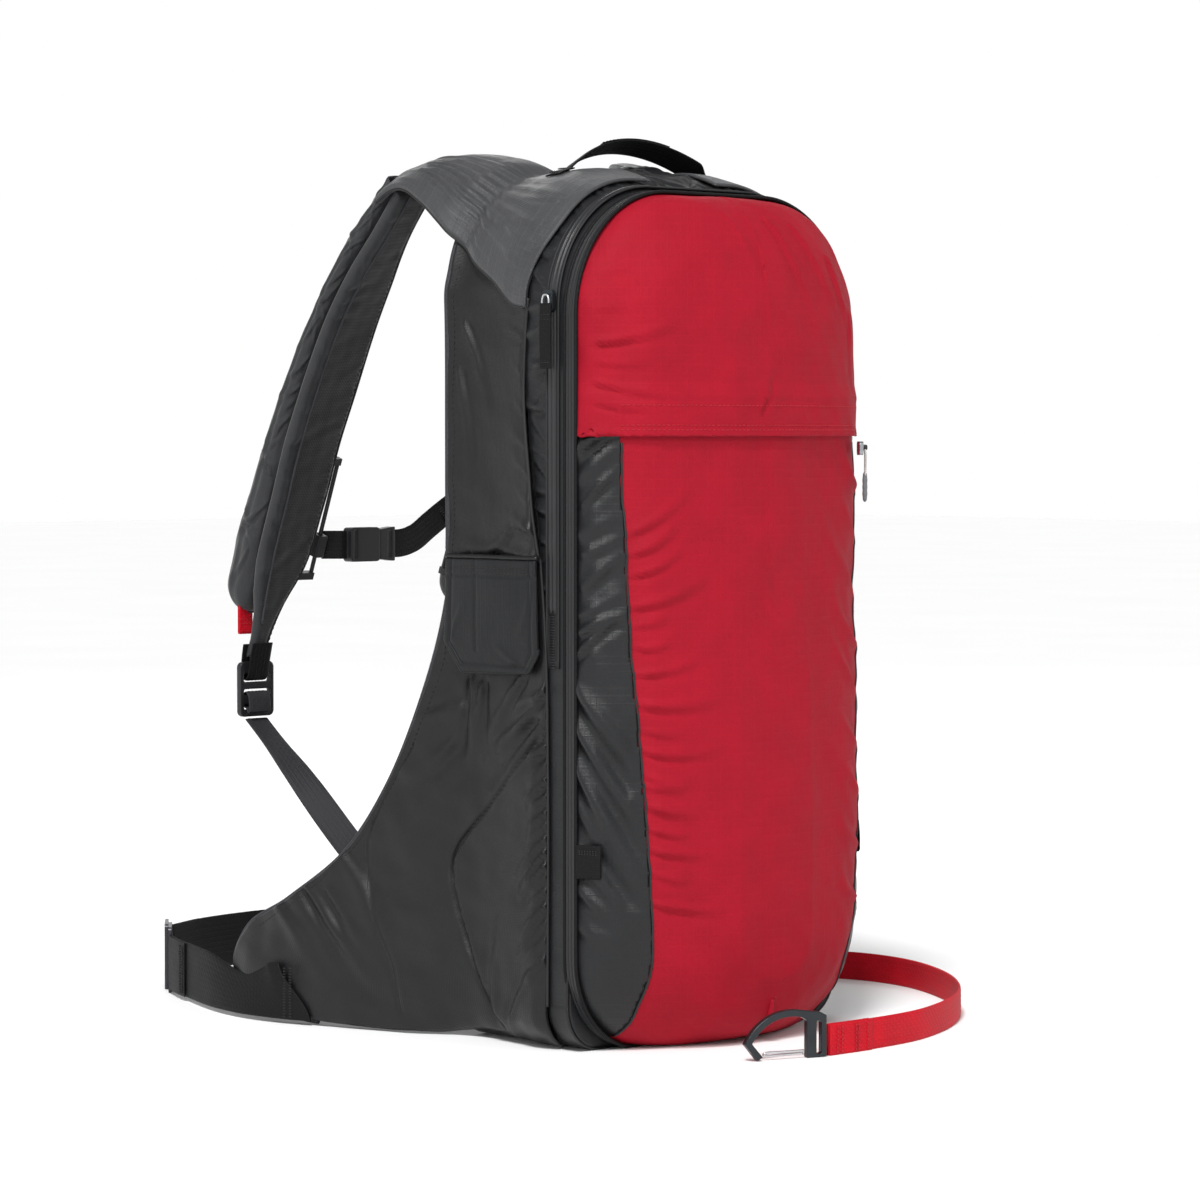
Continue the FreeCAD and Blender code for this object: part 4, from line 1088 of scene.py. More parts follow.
def outline_path(y, offset, lowest, base_radius=BASE_RADIUS, top=None):
    """The bag's outline at a depth, with its outward directions; open below lowest."""
    top = top_line(y) if top is None else top
    ring = outline_ring(HALF + offset, -offset, top + offset, TOP_RADIUS + offset, base_radius + offset,
                        (24, 60, 24, 90, 60, 40, 60, 90))
    out = np.stack([np.roll(ring, -1, 0)[:, 1] - np.roll(ring, 1, 0)[:, 1],
                    np.roll(ring, 1, 0)[:, 0] - np.roll(ring, -1, 0)[:, 0]], 1)
    kept = ring[:, 1] >= lowest
    path = np.stack([ring[:, 0], np.full(len(ring), y), ring[:, 1]], 1)
    outs = unit(np.stack([out[:, 0], np.zeros(len(ring)), out[:, 1]], 1))
    return path[kept], outs[kept]


def strip_profile(width, height, points=9):
    """A low strip with rounded edges, as (across, out) points."""
    across = np.linspace(-0.5, 0.5, points)
    rise = height * np.sqrt(np.maximum(1 - (2 * np.abs(across)) ** 6, 0))
    return np.concatenate([np.stack([across * width, rise], 1), [[0.5 * width, -0.3], [-0.5 * width, -0.3]]])


def zip_coil(path, outs, width=4.2, radius=0.42):
    """The teeth of a coil zip: a bar across the tape at every pitch."""
    pitch = 1.7
    places = np.arange(0, run_of(path)[-1], pitch)
    at = run_of(path)
    line, out = resample(places, at, path), unit(resample(places, at, outs))
    tangent = unit(along(line))
    across = np.cross(out, tangent)
    angles = np.arange(6) * math.pi / 3
    verts, faces = [], []
    for p, o, t, a in zip(line, out, tangent, across):
        ends = np.array([-width / 2, -width / 2 + 0.5, width / 2 - 0.5, width / 2])
        size = np.array([0.55, 1, 1, 0.55]) * radius
        ring = (p + a * ends[:, None])[:, None] + (o * np.cos(angles)[:, None] + t * np.sin(angles)[:, None]
                                                    )[None] * size[:, None, None]
        index = np.arange(24).reshape(4, 6) + len(verts)
        faces += tube_faces(index)
        verts += ring.reshape(-1, 3).tolist()
    return mesh_object("coil", verts, faces, np.zeros((len(verts), 2)))


def make_main_zip():
    """The arched zip: tape, two coated lips that meet over the coil, and bare coil at its lower ends."""
    path, outs = outline_path(ZIP_Y, 0.2, ZIP_LOW)
    parts = [wear(sweep("tape", path, outs, strip_profile(11.0, 0.45)), "zip")]
    bare = 30.0
    inner = (run_of(path) > bare) & (run_of(path) < run_of(path)[-1] - bare)
    for offset in (-1.75, 1.75):
        lip = strip_profile(2.9, 1.0) + np.array([offset, 0.35])
        parts.append(wear(sweep("lip", path[inner], outs[inner], lip), "zip_cover"))
    for offset in (-5.3, 5.3):
        across = np.cross(outs, unit(along(path)))
        parts.append(wear(tube("edge", path + across * offset + outs * 0.3, 0.75, hint=outs), "thread"))
    first, last = int(inner.argmax()), len(inner) - int(inner[::-1].argmax()) - 1
    for piece in (slice(0, first + 1), slice(last, len(inner))):
        if len(path[piece]) > 2:
            parts.append(wear(zip_coil(path[piece] + outs[piece] * 0.7, outs[piece]), "coil"))
    settle(join("main_zip", parts), "pack", None, "zip_tape", "main_zip_tape")


def make_booster_zip():
    """The zip that joins the front section: a coated strip with four fine cords, round the whole bag."""
    y = float(sum(edges_of("booster_zip_tape")[i][1] for i in (0, 1)) / 2)
    path, outs = outline_path(y, 0.2, -9, base_radius=FRONT_BASE_RADIUS, top=FRONT_TOP)
    path[:, 2] = np.maximum(path[:, 2], 0.9)
    across = np.cross(outs, unit(along(path, 0, True)))
    parts = [wear(sweep("strip", path, outs, strip_profile(10.6, 0.9, 13), closed=True), "zip_cover")]
    for offset, radius, look in ((-5.0, 1.25, "webbing"), (-1.7, 0.8, "thread"), (1.1, 0.8, "thread"),
                                 (4.9, 1.25, "webbing")):
        line = path + across * offset + outs * 0.55
        line[:, 2] = np.maximum(line[:, 2], radius + 0.1)
        parts.append(wear(tube("cord", line, radius, closed=True, hint=outs), look))
    settle(join("booster_zip", parts), "pack", None, "zip_tape", "booster_zip_tape")


def make_pocket_zip():
    """The pocket's zip, hidden under the hem of the upper panel."""
    tree = surface_tree(bpy.data.objects["front_lower_cloth"])
    middle = HEM + 6
    starts = [(x, AHEAD, middle) for x in np.linspace(-92, 92, 150)]
    path, outs = lay_on(tree, starts, (0, 1, 0), 0.15)
    path = smooth_rows(path, 9)
    tape = wear(sweep("tape", path, outs, strip_profile(9.0, 0.3)), "zip")
    coil = wear(zip_coil(path + outs * 0.35, outs, width=3.0, radius=0.35), "coil")
    settle(join("pocket_zip", [tape, coil]), "pack", None, "zip_tape", "pocket_zip_tape")


def smooth_rows(path, width):
    """Evens out a path with a moving average, keeping its ends."""
    kernel = np.ones(width) / width
    padded = np.concatenate([np.repeat(path[:1], width // 2, 0), path, np.repeat(path[-1:], width // 2, 0)])
    return np.stack([np.convolve(padded[:, i], kernel, "valid") for i in range(3)], 1)


def make_main_pulls():
    """Webbing pulls on the main zip's sliders, each with its stitched end and wire loop."""
    for side, sign in SIDES:
        node = "main_zip_pull_" + side
        low, high = edges_of(node)
        middle = (low + high) / 2
        heights = np.linspace(high[2] - 5, low[2], 40)
        bow = 0.5 * np.sin(np.linspace(0, math.pi, 40))
        path = np.stack([np.full(40, middle[0]) - sign * bow, np.full(40, middle[1]), heights], 1)
        out = np.array([-sign, 0, 0.0])
        parts = [wear(webbing("tab", path, out, high[1] - low[1], 1.7), "webbing")]
        for z in (high[2] - 12, high[2] - 15, low[2] + 4):
            across = np.linspace(low[1] + 1, high[1] - 1, 12)
            row = np.stack([np.full(12, middle[0] - sign), across, np.full(12, z)], 1)
            seam = stitching("row", row, np.broadcast_to(out, row.shape), 1.8, 0.7, 0.28)
            parts.append(wear(seam, "thread"))
        loop = [(middle[0], middle[1] + dy, high[2] + dz) for dy, dz in
                ((-2.6, -7), (-3.0, -3), (-1.6, 0.2), (1.6, 0.2), (3.0, -3), (2.6, -7))]
        parts.append(wear(tube("loop", smooth_line(loop, 26), 0.65, hint=out), "wire"))
        settle(join("main_pull_" + side, parts), "main_pull_" + side, None, "webbing_black", node)


def make_pocket_pull():
    """Two thin cords and a moulded grip that hang from the pocket zip's slider."""
    low, high = edges_of("pocket_zip_pull")
    facing = math.radians(51.3)
    out = np.array([math.sin(facing), -math.cos(facing), 0])
    across = np.array([math.cos(facing), math.sin(facing), 0])
    top = (low + high) / 2
    top[2] = high[2]
    parts = []
    for sign in (-1, 1):
        line = [top + across * sign * w + out * o + UP * z for w, o, z in
                ((0.5, -0.3, -1), (1.5, 0.2, -5), (1.6, 0.3, -12), (0.9, 0.1, -20))]
        parts.append(wear(tube("strand", smooth_line(line, 30), 0.62, hint=out), "cord"))
    grip = [top + UP * z for z in np.linspace(-17.5, -37.5, 22)]
    swell = 1.75 * np.sqrt(np.clip(1 - np.linspace(-1, 1, 22) ** 6, 0.06, 1))
    ribs = 1 + 0.07 * np.sin(np.linspace(0, 9 * math.pi, 22))
    parts.append(wear(subdivide(tube("grip", grip, swell * ribs, hint=out, sides=10)), "case"))
    collar = [top + UP * z for z in np.linspace(0.4, -3.4, 8)]
    girth = [0.8, 1.5, 1.7, 1.7, 1.7, 1.7, 1.5, 0.8]
    parts.append(wear(tube("collar", collar, girth, hint=out, sides=10), "plastic"))
    settle(join("pocket_pull", parts), "pocket_pull", None, "black_plastic", "pocket_zip_pull")


make_main_zip()
make_booster_zip()
make_pocket_zip()
make_main_pulls()
make_pocket_pull()


# ---------------------------------------------------------------- hip fins and side covers

# The fin's outer face by depth: y, x of its face, thickness.
FIN_FACE = [(-40, -127.8, 2.4), (44, -127.8, 2.6), (50, -130.0, 5), (58, -133.2, 7), (67, -136.5, 8),
            (94, -144.0, 10), (124, -154.0, 12), (170, -166.0, 12), (205, -168.0, 10), (228, -165.5, 6)]
# The rim behind, from the fin's tip up to the shoulder: share of the way up, y, z.
FIN_RIM = [(0, 216, 21), (0.05, 226, 38), (0.11, 212, 61), (0.2, 172, 83), (0.29, 128, 116), (0.38, 96, 162),
           (0.47, 70, 218), (0.55, 54.5, 268), (0.62, 47.5, 310), (0.70, 47.5, 360), (0.78, 49, 413),
           (0.89, 51, 478), (1, 52, 528)]
# Seams that run over the side, as (y, z).
POCKET_SEAM = [(-38, 199), (-10, 174), (22, 144), (36, 130.5), (42.5, 121.5), (44.8, 112), (42.5, 94),
               (34, 66), (21.4, 38.5), (5, 13)]
FIN_SEAM = [(74, 190), (98, 152), (109, 126), (108, 99), (98, 62), (88, 34), (84, 14)]
RIM_STITCHES = [(45, 500), (44, 420), (42, 330), (46, 276), (60, 222), (86, 168), (118, 120), (160, 83),
                (198, 62)]


def fin_creases():
    """Folds of the fin and the side: pulls below the flap, fans at the fin's foot, puckers at the zip."""
    rng = random.Random(31)
    made = [(158, 92, 100, 16, 5.5, -2.6, -3), (182, 84, 136, 20, 6.5, 1.5, 2),
            (140, 88, 92, 22, 5, -1.2, -2), (-40, 230, 8, 184, 4.2, 2.8, 2), (-40, 213, -4, 178, 3.4, 2.2, 1),
            (-18, 236, 22, 188, 4.5, 2.6, -2), (126, 112, 96, 60, 7, 1.2, 2),
            (34, 232, 44, 176, 4.5, -3.4, 2), (22, 228, 30, 190, 4, 2.4, 1),
            (-34, 214, 24, 176, 5, 2.4, -4), (-36, 226, 6, 206, 4, 2.0, -2), (48, 190, 84, 168, 6, 1.5, 3),
            (-34, 190, 20, 150, 6, 1.6, -3), (0, 8, -44, 68, 3.6, 1.7, 1),
            (8, 14, -2, 96, 6, 1.2, 4), (60, 210, 20, 214, 5, 1.2, 2)]
    for z in (204, 194, 183, 173, 162, 152, 145, 136, 128, 119, 112, 103, 94, 84, 72, 60):
        reach = rng.uniform(12, 26)
        made.append((-41, z, -41 + reach, z - reach * rng.uniform(0.5, 1.2), rng.uniform(2.0, 3.0),
                     rng.uniform(2.0, 3.4), 1))
    for z in (470, 452, 430, 405, 384, 366, 348, 331):
        y = np.interp(z, [300, 360, 419, 460], [-36, -28, -20, -21])
        reach = rng.uniform(10, 24)
        made.append((y, z, y + reach, z + reach * rng.uniform(0.3, 0.9), rng.uniform(2.2, 3.6),
                     rng.uniform(0.5, 1.1), 1))
    for y, z, dy, dz, height in ((-30, 314, 40, 8, 2.2), (-8, 330, 26, -14, 1.8), (-30, 330, 20, 12, 2.0),
                                 (0, 318, 40, 3, 1.3), (36, 460, -22, -60, 1.2), (40, 430, -10, -80, 0.9)):
        made.append((y, z, y + dy, z + dz, 4, height, 2))
    return made


def fin_grid():
    """Outer face of the left fin and side cover: rows from the base up, columns from front to back."""
    rows, columns = 230, 150
    up = np.linspace(0, 1, rows)
    share, rim_y, rim_z = np.array(FIN_RIM, float).T
    rim = hermite(up, share, np.stack([rim_y, rim_z], 1))
    front_z = 1.0 + up * 527
    heights, fronts = np.array(COVER_EDGE, float).T
    front = np.stack([hermite(front_z, heights, fronts), front_z], 1)
    across = np.linspace(0, 1, columns)
    flat = front[:, None] * (1 - across)[:, None] + rim[:, None] * across[:, None]
    bottom = hermite(flat[0, :, 0], [-40, -8, 26, 54, 94, 124, 170, 205, 220],
                     [1.0, 2.0, 6.0, 2.5, 1.0, 1.6, 5.0, 13.0, 21])
    flat[:, :, 1] += (bottom - flat[0, :, 1])[None] * ((1 - up) ** 6)[:, None]
    y, z = flat[..., 0], flat[..., 1]
    depth, face, thick = np.array(FIN_FACE, float).T
    # Where the panel lies on the bag it follows the rounding of the base and the top, and above the flap it
    # stands off a little over the airbag.
    onto_bag = 1 - smoothstep(y, 44, 92)
    into_base = np.clip(BASE_RADIUS - z, 0, BASE_RADIUS)
    under = BASE_RADIUS - np.sqrt(np.maximum(BASE_RADIUS**2 - into_base**2, 0))
    into_top = np.clip(z - TOP + TOP_RADIUS, 0, TOP_RADIUS - 1)
    over = TOP_RADIUS - np.sqrt(np.maximum(TOP_RADIUS**2 - into_top**2, 0))
    raised = 3.6 * (z > edges_of("airbag_flap")[1][2]) * (1 - smoothstep(z, 330, 470)) ** 0.8
    face = hermite(y, depth, face) + (under * 0.8 + over) * onto_bag - raised * smoothstep(y, -38, -30)
    face += 2.4 * smoothstep(z, 482, 498) * onto_bag
    return y, z, face, np.maximum(hermite(y, depth, thick), 2.0)


def near_line(y, z, line):
    """Distance of each grid point from a smooth line drawn on the side."""
    points = smooth_line(line, 60)
    best = np.full(y.shape, 1e9)
    for a, b in zip(points[:-1], points[1:]):
        ab = b - a
        k = np.clip(((y - a[0]) * ab[0] + (z - a[1]) * ab[1]) / (ab @ ab), 0, 1)
        best = np.minimum(best, np.hypot(y - a[0] - k * ab[0], z - a[1] - k * ab[1]))
    return best


def make_fins():
    """Hip fins, each in one padded piece with the cover over the bag's side."""
    y, z, face, thick = fin_grid()
    rim_gap = smoothstep(thick, 2.4, 7)
    pocket, seam = near_line(y, z, POCKET_SEAM), near_line(y, z, FIN_SEAM)
    move = folds(y, z, fin_creases(), 0.6) * smoothstep(z, 4, 26)
    move += 1.1 * ripple(y, z, 60, 41) * smoothstep(z, 4, 30) + 0.35 * ripple(y, z, 18, 42)
    # Inside its seam the pocket panel stands proud; both seams are drawn in.
    seam_y, seam_z = np.array(POCKET_SEAM[::-1], float).T
    inside = np.where(z < seam_z[-1] + 6, np.sign(np.interp(z, seam_z, seam_y) - y), -1)
    depth = pocket * inside
    front = smoothstep(y, -41, -31)
    proud, pocket_groove, fin_groove = 3.2, 3.0, 1.4
    move = 1.4 * move * np.maximum(front, 0.75)
    move += proud * smoothstep(depth, -0.6, 1.4) * front * smoothstep(z, 4, 20)
    move -= pocket_groove * np.exp(-((depth + 1.5) / 1.6) ** 2) + fin_groove * np.exp(-(seam / 1.4) ** 2)
    move = np.maximum(move, -3.4 - 2 * rim_gap)
    on_bag = 1 - smoothstep(y, 44, 62)
    tip_swell = 1.4 * bump(y, 205, 30) * bump(z, 40, 16)
    outward = move + tip_swell
    inward = -outward * on_bag
    for side, sign in SIDES:
        mid = np.stack([(face + thick / 2) * sign, y, z], -1)
        flip = FLIP[sign]
        fin = quilt("hip_fin_cloth_" + side, mid[flip], thick[flip], 3.0, outward[flip], inward[flip])
        settle(fin, "pack", "stretch", "fin_fabric", "hip_fin_" + side)
        fin_trim(side, sign, mid, fin)


def fin_trim(side, sign, mid, fin):
    """Binding round the rim, and the piped seams on the face."""
    parts = []
    edge = np.concatenate([mid[0, -40:], smooth_rows(mid[:, -1], 5)[1:]])
    hint = np.array([-sign, 0, 0.0])
    parts.append(wear(sweep("binding", evenly(edge, 320), hint, oval(2.2, 2.1, 12)), "binding"))
    lowest, highest = 12, 208
    free_edge = tube("free_edge", evenly(mid[lowest:highest, 0], 240), 1.0, hint=hint)
    parts.append(wear(free_edge, "thread"))
    tree = surface_tree(fin)
    for seam, radius in ((POCKET_SEAM, 0.8), (FIN_SEAM, 0.55)):
        starts = [(-ASIDE * sign, a, b) for a, b in smooth_line(seam, 90)]
        path, _ = lay_on(tree, starts, (sign, 0, 0), -0.5)
        parts.append(wear(tube("seam", smooth_rows(path, 5), radius, hint=hint), "thread"))
    starts = [(-ASIDE * sign, a, b) for a, b in smooth_line(RIM_STITCHES, 220)]
    path, out = lay_on(tree, starts, (sign, 0, 0), 0.05)
    parts.append(wear(stitching("row", path, out, 2.6, 1.2, 0.26), "thread"))
    settle(join("fin_trim_" + side, parts), "pack", None, "webbing_black")


make_fins()


# ---------------------------------------------------------------- shoulder yokes

# Points across each section of a yoke.
YOKE_COUNT = 76


def hugging(y, lowest):
    """The bag's corner at a depth, from the middle of the top down to a height, just outside the shell."""
    gap = 2.6
    radius, top = TOP_RADIUS + gap, top_line(y) + gap
    centre = (-(HALF - TOP_RADIUS), top_line(y) - TOP_RADIUS)
    last = 180 - math.degrees(math.asin(max(lowest - centre[1], 0) / radius))
    angles = np.radians(np.linspace(90, last, 60))
    corner = np.stack([centre[0] + radius * np.cos(angles), centre[1] + radius * np.sin(angles)], 1)
    foot = [(-HALF - gap, lowest)] if lowest < centre[1] else []
    return evenly(np.concatenate([[(-30, top)], corner] + ([foot] if foot else [])), YOKE_COUNT)


def arc_through(a, m, b):
    """Points along the circle through three points."""
    ax, az, mx, mz, bx, bz = *a, *m, *b
    d = 2 * (ax * (mz - bz) + mx * (bz - az) + bx * (az - mz))
    cx = ((ax**2 + az**2) * (mz - bz) + (mx**2 + mz**2) * (bz - az) + (bx**2 + bz**2) * (az - mz)) / d
    cz = ((ax**2 + az**2) * (bx - mx) + (mx**2 + mz**2) * (ax - bx) + (bx**2 + bz**2) * (mx - ax)) / d
    first, last = math.atan2(az - cz, ax - cx), math.atan2(bz - cz, bx - cx)
    last += 2 * math.pi if last < first else 0
    angles = np.linspace(first, last, YOKE_COUNT)
    radius = math.hypot(ax - cx, az - cz)
    return evenly(np.stack([cx + radius * np.cos(angles), cz + radius * np.sin(angles)], 1), YOKE_COUNT)


def make_yokes():
    """Grey ripstop from the main zip over the bag's corner to the top of the shoulder strap."""
    sections = [(-37, hugging(-37, 471)), (-22, hugging(-22, 473)), (-6, hugging(-6, 480)),
                (10, hugging(10, 490)), (28, hugging(28, 501)), (44, hugging(44, 513)),
                (54, arc_through((-39, 566), (-105, 547), (-124, 521))),
                (64, arc_through((-43, 569.5), (-103, 553), (-124, 529))),
                (85, arc_through((-54, 572), (-99, 563), (-120, 542))),
                (112, arc_through((-74, 568.5), (-95, 566.5), (-117, 552))),
                (124, arc_through((-76, 563.5), (-96, 562), (-117, 549))),
                (133, arc_through((-77, 556.5), (-96, 555.5), (-117, 544)))]
    places = np.linspace(-37, 133, 130)
    lines = hermite(places, [s[0] for s in sections], [s[1].ravel() for s in sections])
    lines = lines.reshape(-1, YOKE_COUNT, 2)
    y = places[:, None] * np.ones(YOKE_COUNT)
    lower = smoothstep(np.linspace(0, 1, YOKE_COUNT), 0.55, 0.95)[None]
    y = y + lower * 14 * (1 - smoothstep(y, -37, 10))
    mid = np.stack([lines[..., 0], y, lines[..., 1]], -1)
    s = np.linspace(0, 150, YOKE_COUNT)[None] * np.ones_like(y)
    creases = [(104, 98, 119, -6, 3.4, 1.9, -4), (95, 90, 108, -22, 3.2, 1.7, -4),
               (112, 92, 128, 12, 3.2, 1.7, -3), (86, 96, 98, -26, 3.6, 1.5, -3),
               (121, 84, 136, 10, 3.0, 1.5, -2), (76, 100, 84, -20, 3.8, 1.2, -2),
               (66, 84, 70, -24, 3.4, 1.0, -2), (108, 66, 124, -14, 2.4, 1.1, -2),
               (99, 56, 112, -12, 2.2, 0.9, 2), (130, 70, 143, 24, 2.6, 1.2, 0),
               (54, 100, 58, 0, 4.0, 0.9, 3), (90, -28, 104, 14, 2.0, 0.8, 1),
               (112, -26, 122, 10, 2.0, 0.8, 1), (70, -30, 82, 10, 2.0, 0.7, 1)]
    move = folds(s, y, creases, 0.4) + 0.6 * ripple(s, y, 46, 51) + 0.25 * ripple(s, y, 15, 52)
    move *= smoothstep(y, -37, -22)
    thick = 2.4 + 3.4 * smoothstep(y, 36, 66)
    for side, sign in SIDES:
        placed, flip = mid * np.array([sign, 1, 1]), FLIP[sign]
        yoke = quilt("yoke_cloth_" + side, placed[flip], thick[flip], 2.4, move[flip], -move[flip])
        settle(yoke, "pack", "yoke", "shell_fabric", "shoulder_yoke_" + side)
        # A cord of dark thread along the yoke's lower edge: partly its hem, and partly painted shade, since
        # its dark colour stands in for the shadow of the fold where the yoke lies over the side.
        trim = [wear(tube("edge", evenly(placed[2:, -1], 240), 0.9, hint=UP), "thread")]
        settle(join("yoke_hem_cord_and_painted_shadow_" + side, trim), "pack", None, "shell_fabric")


make_yokes()


# ---------------------------------------------------------------- padding by cloth simulation

PAD_VOXEL = 5.0


def inflate(obj, voxel, cap):
    """Swells a closed padded shape with a short cloth simulation, and keeps the result as its mesh; no
    vertex moves further than cap."""
    pressure, frames = 4.0, 20
    remesh = obj.modifiers.new("remesh", "REMESH")
    remesh.mode, remesh.voxel_size = "VOXEL", voxel * MM
    apply_modifiers(obj)
    rest = vertices_of(obj)
    cloth = obj.modifiers.new("padding", "CLOTH")
    cloth.settings.quality = 5
    cloth.settings.use_pressure = True
    cloth.settings.uniform_pressure_force = pressure
    cloth.settings.effector_weights.gravity = 0
    cloth.point_cache.frame_end = frames
    for frame_number in range(1, frames + 1):
        bpy.context.scene.frame_set(frame_number)
    moved = vertices_of(obj.evaluated_get(bpy.context.evaluated_depsgraph_get())) - rest
    obj.modifiers.clear()
    bpy.context.scene.frame_set(1)
    length = np.linalg.norm(moved, axis=1, keepdims=True)
    rest = rest + moved * np.minimum(1, cap * MM / np.maximum(length, 1e-9))
    place_vertices(obj, rest)
    apply_modifiers(subdivide(obj))
    obj.data.shade_smooth()
    return obj


def press(obj, depth_at, facing):
    """Moves vertices of a padded piece by a depth, in millimetres, against the way that it faces."""
    co = vertices_of(obj) / MM
    normal = np.array([v.normal for v in obj.data.vertices])
    facing = np.array(facing, float)
    share = smoothstep(normal @ facing, 0.1, 0.8)
    co = co - facing * (depth_at(co) * share)[:, None]
    place_vertices(obj, co * MM)


def outline_fill(half_at, low, high, y, columns=61, rows=121):
    """A flat grid of points inside an upright outline, whose half width at a height is half_at."""
    z = low + (high - low) * crowded(rows)
    half = np.array([half_at(v) for v in z])
    across = 2 * crowded(columns) - 1
    return np.stack([half[:, None] * across, np.full((rows, columns), float(y)), z[:, None] + 0 * across], -1)


def rounded_half(half, low, high, top_radius, base_radius):
    """Half width by height of an outline with rounded corners."""
    def at(z):
        inset = 0.0
        if z > high - top_radius:
            inset = top_radius - math.sqrt(max(top_radius**2 - (z - high + top_radius) ** 2, 0))
        elif z < low + base_radius:
            inset = base_radius - math.sqrt(max(base_radius**2 - (low + base_radius - z) ** 2, 0))
        return half - inset
    return at


def make_back():
    """Back panel, its two foam pads and the lumbar pad, and the divider inside the bag."""
    half_at = rounded_half(HALF - 0.2, 0.3, TOP - 2, TOP_RADIUS, BASE_RADIUS)
    points = outline_fill(half_at, 0.4, TOP - 2.4, BACK - 0.8)
    x, z = points[..., 0], points[..., 2]
    move = 0.7 * ripple(x, z, 60, 61) + 0.3 * ripple(x, z, 19, 62)
    panel = quilt("back_panel_cloth", points, 1.8, 2.0, inner=0.4 + 0.5 * np.abs(move))
    settle(panel, "pack", "black", "shell_fabric", "back_panel")

    low, high = edges_of("back_pad")
    heights = [low[2], low[2] + 6, low[2] + 20, 220, 320, high[2] - 50, high[2] - 20, high[2]]
    halves = [72, 82, 88, 92, 94, 90, 78, 26]
    shape = outline_fill(lambda v: hermite(v, heights, halves) - 2.0, low[2] + 2, high[2] - 2,
                         (low[1] + high[1]) / 2, 41, 91)
    pad = inflate(quilt("back_pad_foam", shape, 9.5, 6.0), PAD_VOXEL, 2.2)

    def channels(co):
        spine = 5.6 * smoothstep(13 - np.abs(co[:, 0]), 0, 5)
        rows = sum(3.2 * bump(co[:, 2] - 0.10 * np.abs(co[:, 0]), h, 3.2)
                   for h in (142, 208, 274, 340, 406, 462))
        edge = 1.6 * bump(np.abs(co[:, 0]), 80, 1.8) * (co[:, 2] > 100) * (co[:, 2] < 470)
        return np.minimum(spine + rows + edge, 6.0)
    press(pad, channels, (0, 1, 0))
    keep_behind(pad, low[1] + 0.3)
    settle(pad, "pack", "mesh_pad", "back_foam", "back_pad")

    low, high = edges_of("lumbar_pad")
    half_at = rounded_half(high[0] - 2, low[2] + 2, high[2] - 2, 22, 22)
    shape = outline_fill(half_at, low[2] + 2, high[2] - 2, (low[1] + high[1]) / 2, 41, 31)
    lumbar = inflate(quilt("lumbar_pad_foam", shape, 13.5, 8.0), PAD_VOXEL, 2.6)
    press(lumbar, lambda co: sum(2.6 * bump(co[:, 0], c, 3.0) for c in (-46, 0, 46))
          + 1.5 * bump(co[:, 2], 16, 2.0), (0, 1, 0))
    keep_behind(lumbar, low[1] + 0.3)
    settle(lumbar, "pack", "mesh_pad", "back_foam", "lumbar_pad")

    half_at = rounded_half(HALF - 1.2, 0.6, FRONT_TOP - 0.6, TOP_RADIUS, BASE_RADIUS)
    points = outline_fill(half_at, 0.8, FRONT_TOP - 1, DIVIDER + 0.9)
    points[..., 1] += 0.35 * ripple(points[..., 0], points[..., 2], 50, 66)
    divider = quilt("divider_cloth", points, 1.2, 1.2)
    settle(divider, "pack", "black", "shell_fabric", "divider_panel")


def keep_behind(obj, least_y):
    """Flattens a pad against the panel that it is sewn to."""
    co = vertices_of(obj)
    co[:, 1] = np.maximum(co[:, 1], least_y * MM)
    place_vertices(obj, co)


def make_airbag():
    """The airbag, folded and packed inside the left of the bag."""
    low, high = edges_of("folded_airbag")
    size = (high - low) / 2
    centre = (high + low) / 2
    up = crowded(110) * 2 - 1
    angles = np.arange(72) * math.pi / 36
    grown = np.sqrt(np.clip(1 - np.abs(up) ** 10, 0.02, 1))
    x, y = squared(np.cos(angles), 0.55), squared(np.sin(angles), 0.55)
    points = np.stack([centre[0] + (size[0] - 2.4) * grown[:, None] * x,
                       centre[1] + (size[1] - 2.4) * grown[:, None] * y,
                       centre[2] + (size[2] - 1) * up[:, None] + 0 * x], -1)
    around = np.cumsum(np.linalg.norm(np.diff(points[50], axis=0, append=points[50][:1]), axis=1))
    s, t = np.broadcast_to(around, points.shape[:2]), points[..., 2]
    pleats = 1.3 * np.cos(2 * math.pi * (t + 5 * np.sin(s / 17)) / 26) + 0.9 * ripple(s, t, 24, 71)
    out = away(points, wrap_v=True)
    points = points + out * pleats[..., None]
    index = np.arange(s.size).reshape(s.shape)
    flat = np.stack([s, t], -1).reshape(-1, 2)
    bag = mesh_object("airbag_cloth", points.reshape(-1, 3), tube_faces(index), flat)
    fix_normals(bag)
    settle(bag, "pack", "airbag", "airbag_cloth", "folded_airbag")


make_back()
make_airbag()


# ---------------------------------------------------------------- shoulder straps and sleeves

def side_bight(name, x, line, width, thick=1.3, count=90):
    """Webbing bent along a line of (y, z) points, square across the bag."""
    path = smooth_line([(x, y, z) for y, z in line], count)
    out = unit(np.cross(along(path), np.array([1.0, 0, 0])))
    return webbing(name, path, out, width, thick)


STRAP_LINE = [(112.5, 548), (136, 521.5), (162, 494), (182, 468), (198, 441), (212, 414), (225, 387),
              (240.5, 346), (256, 305), (265, 274), (271, 249), (274, 236)]
STRAP_INNER = [(236, -96), (252, -93), (272, -86), (300, -72), (340, -68), (380, -67), (440, -67.5),
               (495, -74), (525, -83), (560, -84)]
STRAP_OUTER = [(236, -109), (250, -107), (268, -107.5), (282, -111), (304, -113.5), (560, -113.5)]
STRAP_THICK, LINING_EDGE = 10.0, -103.5
# The sleeve's height off the strap, by height above the floor.
SLEEVE_SWELL = [(262, 20), (274, 26), (305, 28.5), (346, 24.5), (387, 21), (414, 19), (441, 17), (468, 15.5),
                (494, 15), (521, 14.5), (548, 12)]
SLEEVE_END, SLEEVE_EDGES = 277.0, (-114.0, -77.5)
SLEEVE_RING, SLEEVE_ROUND = 84, 118


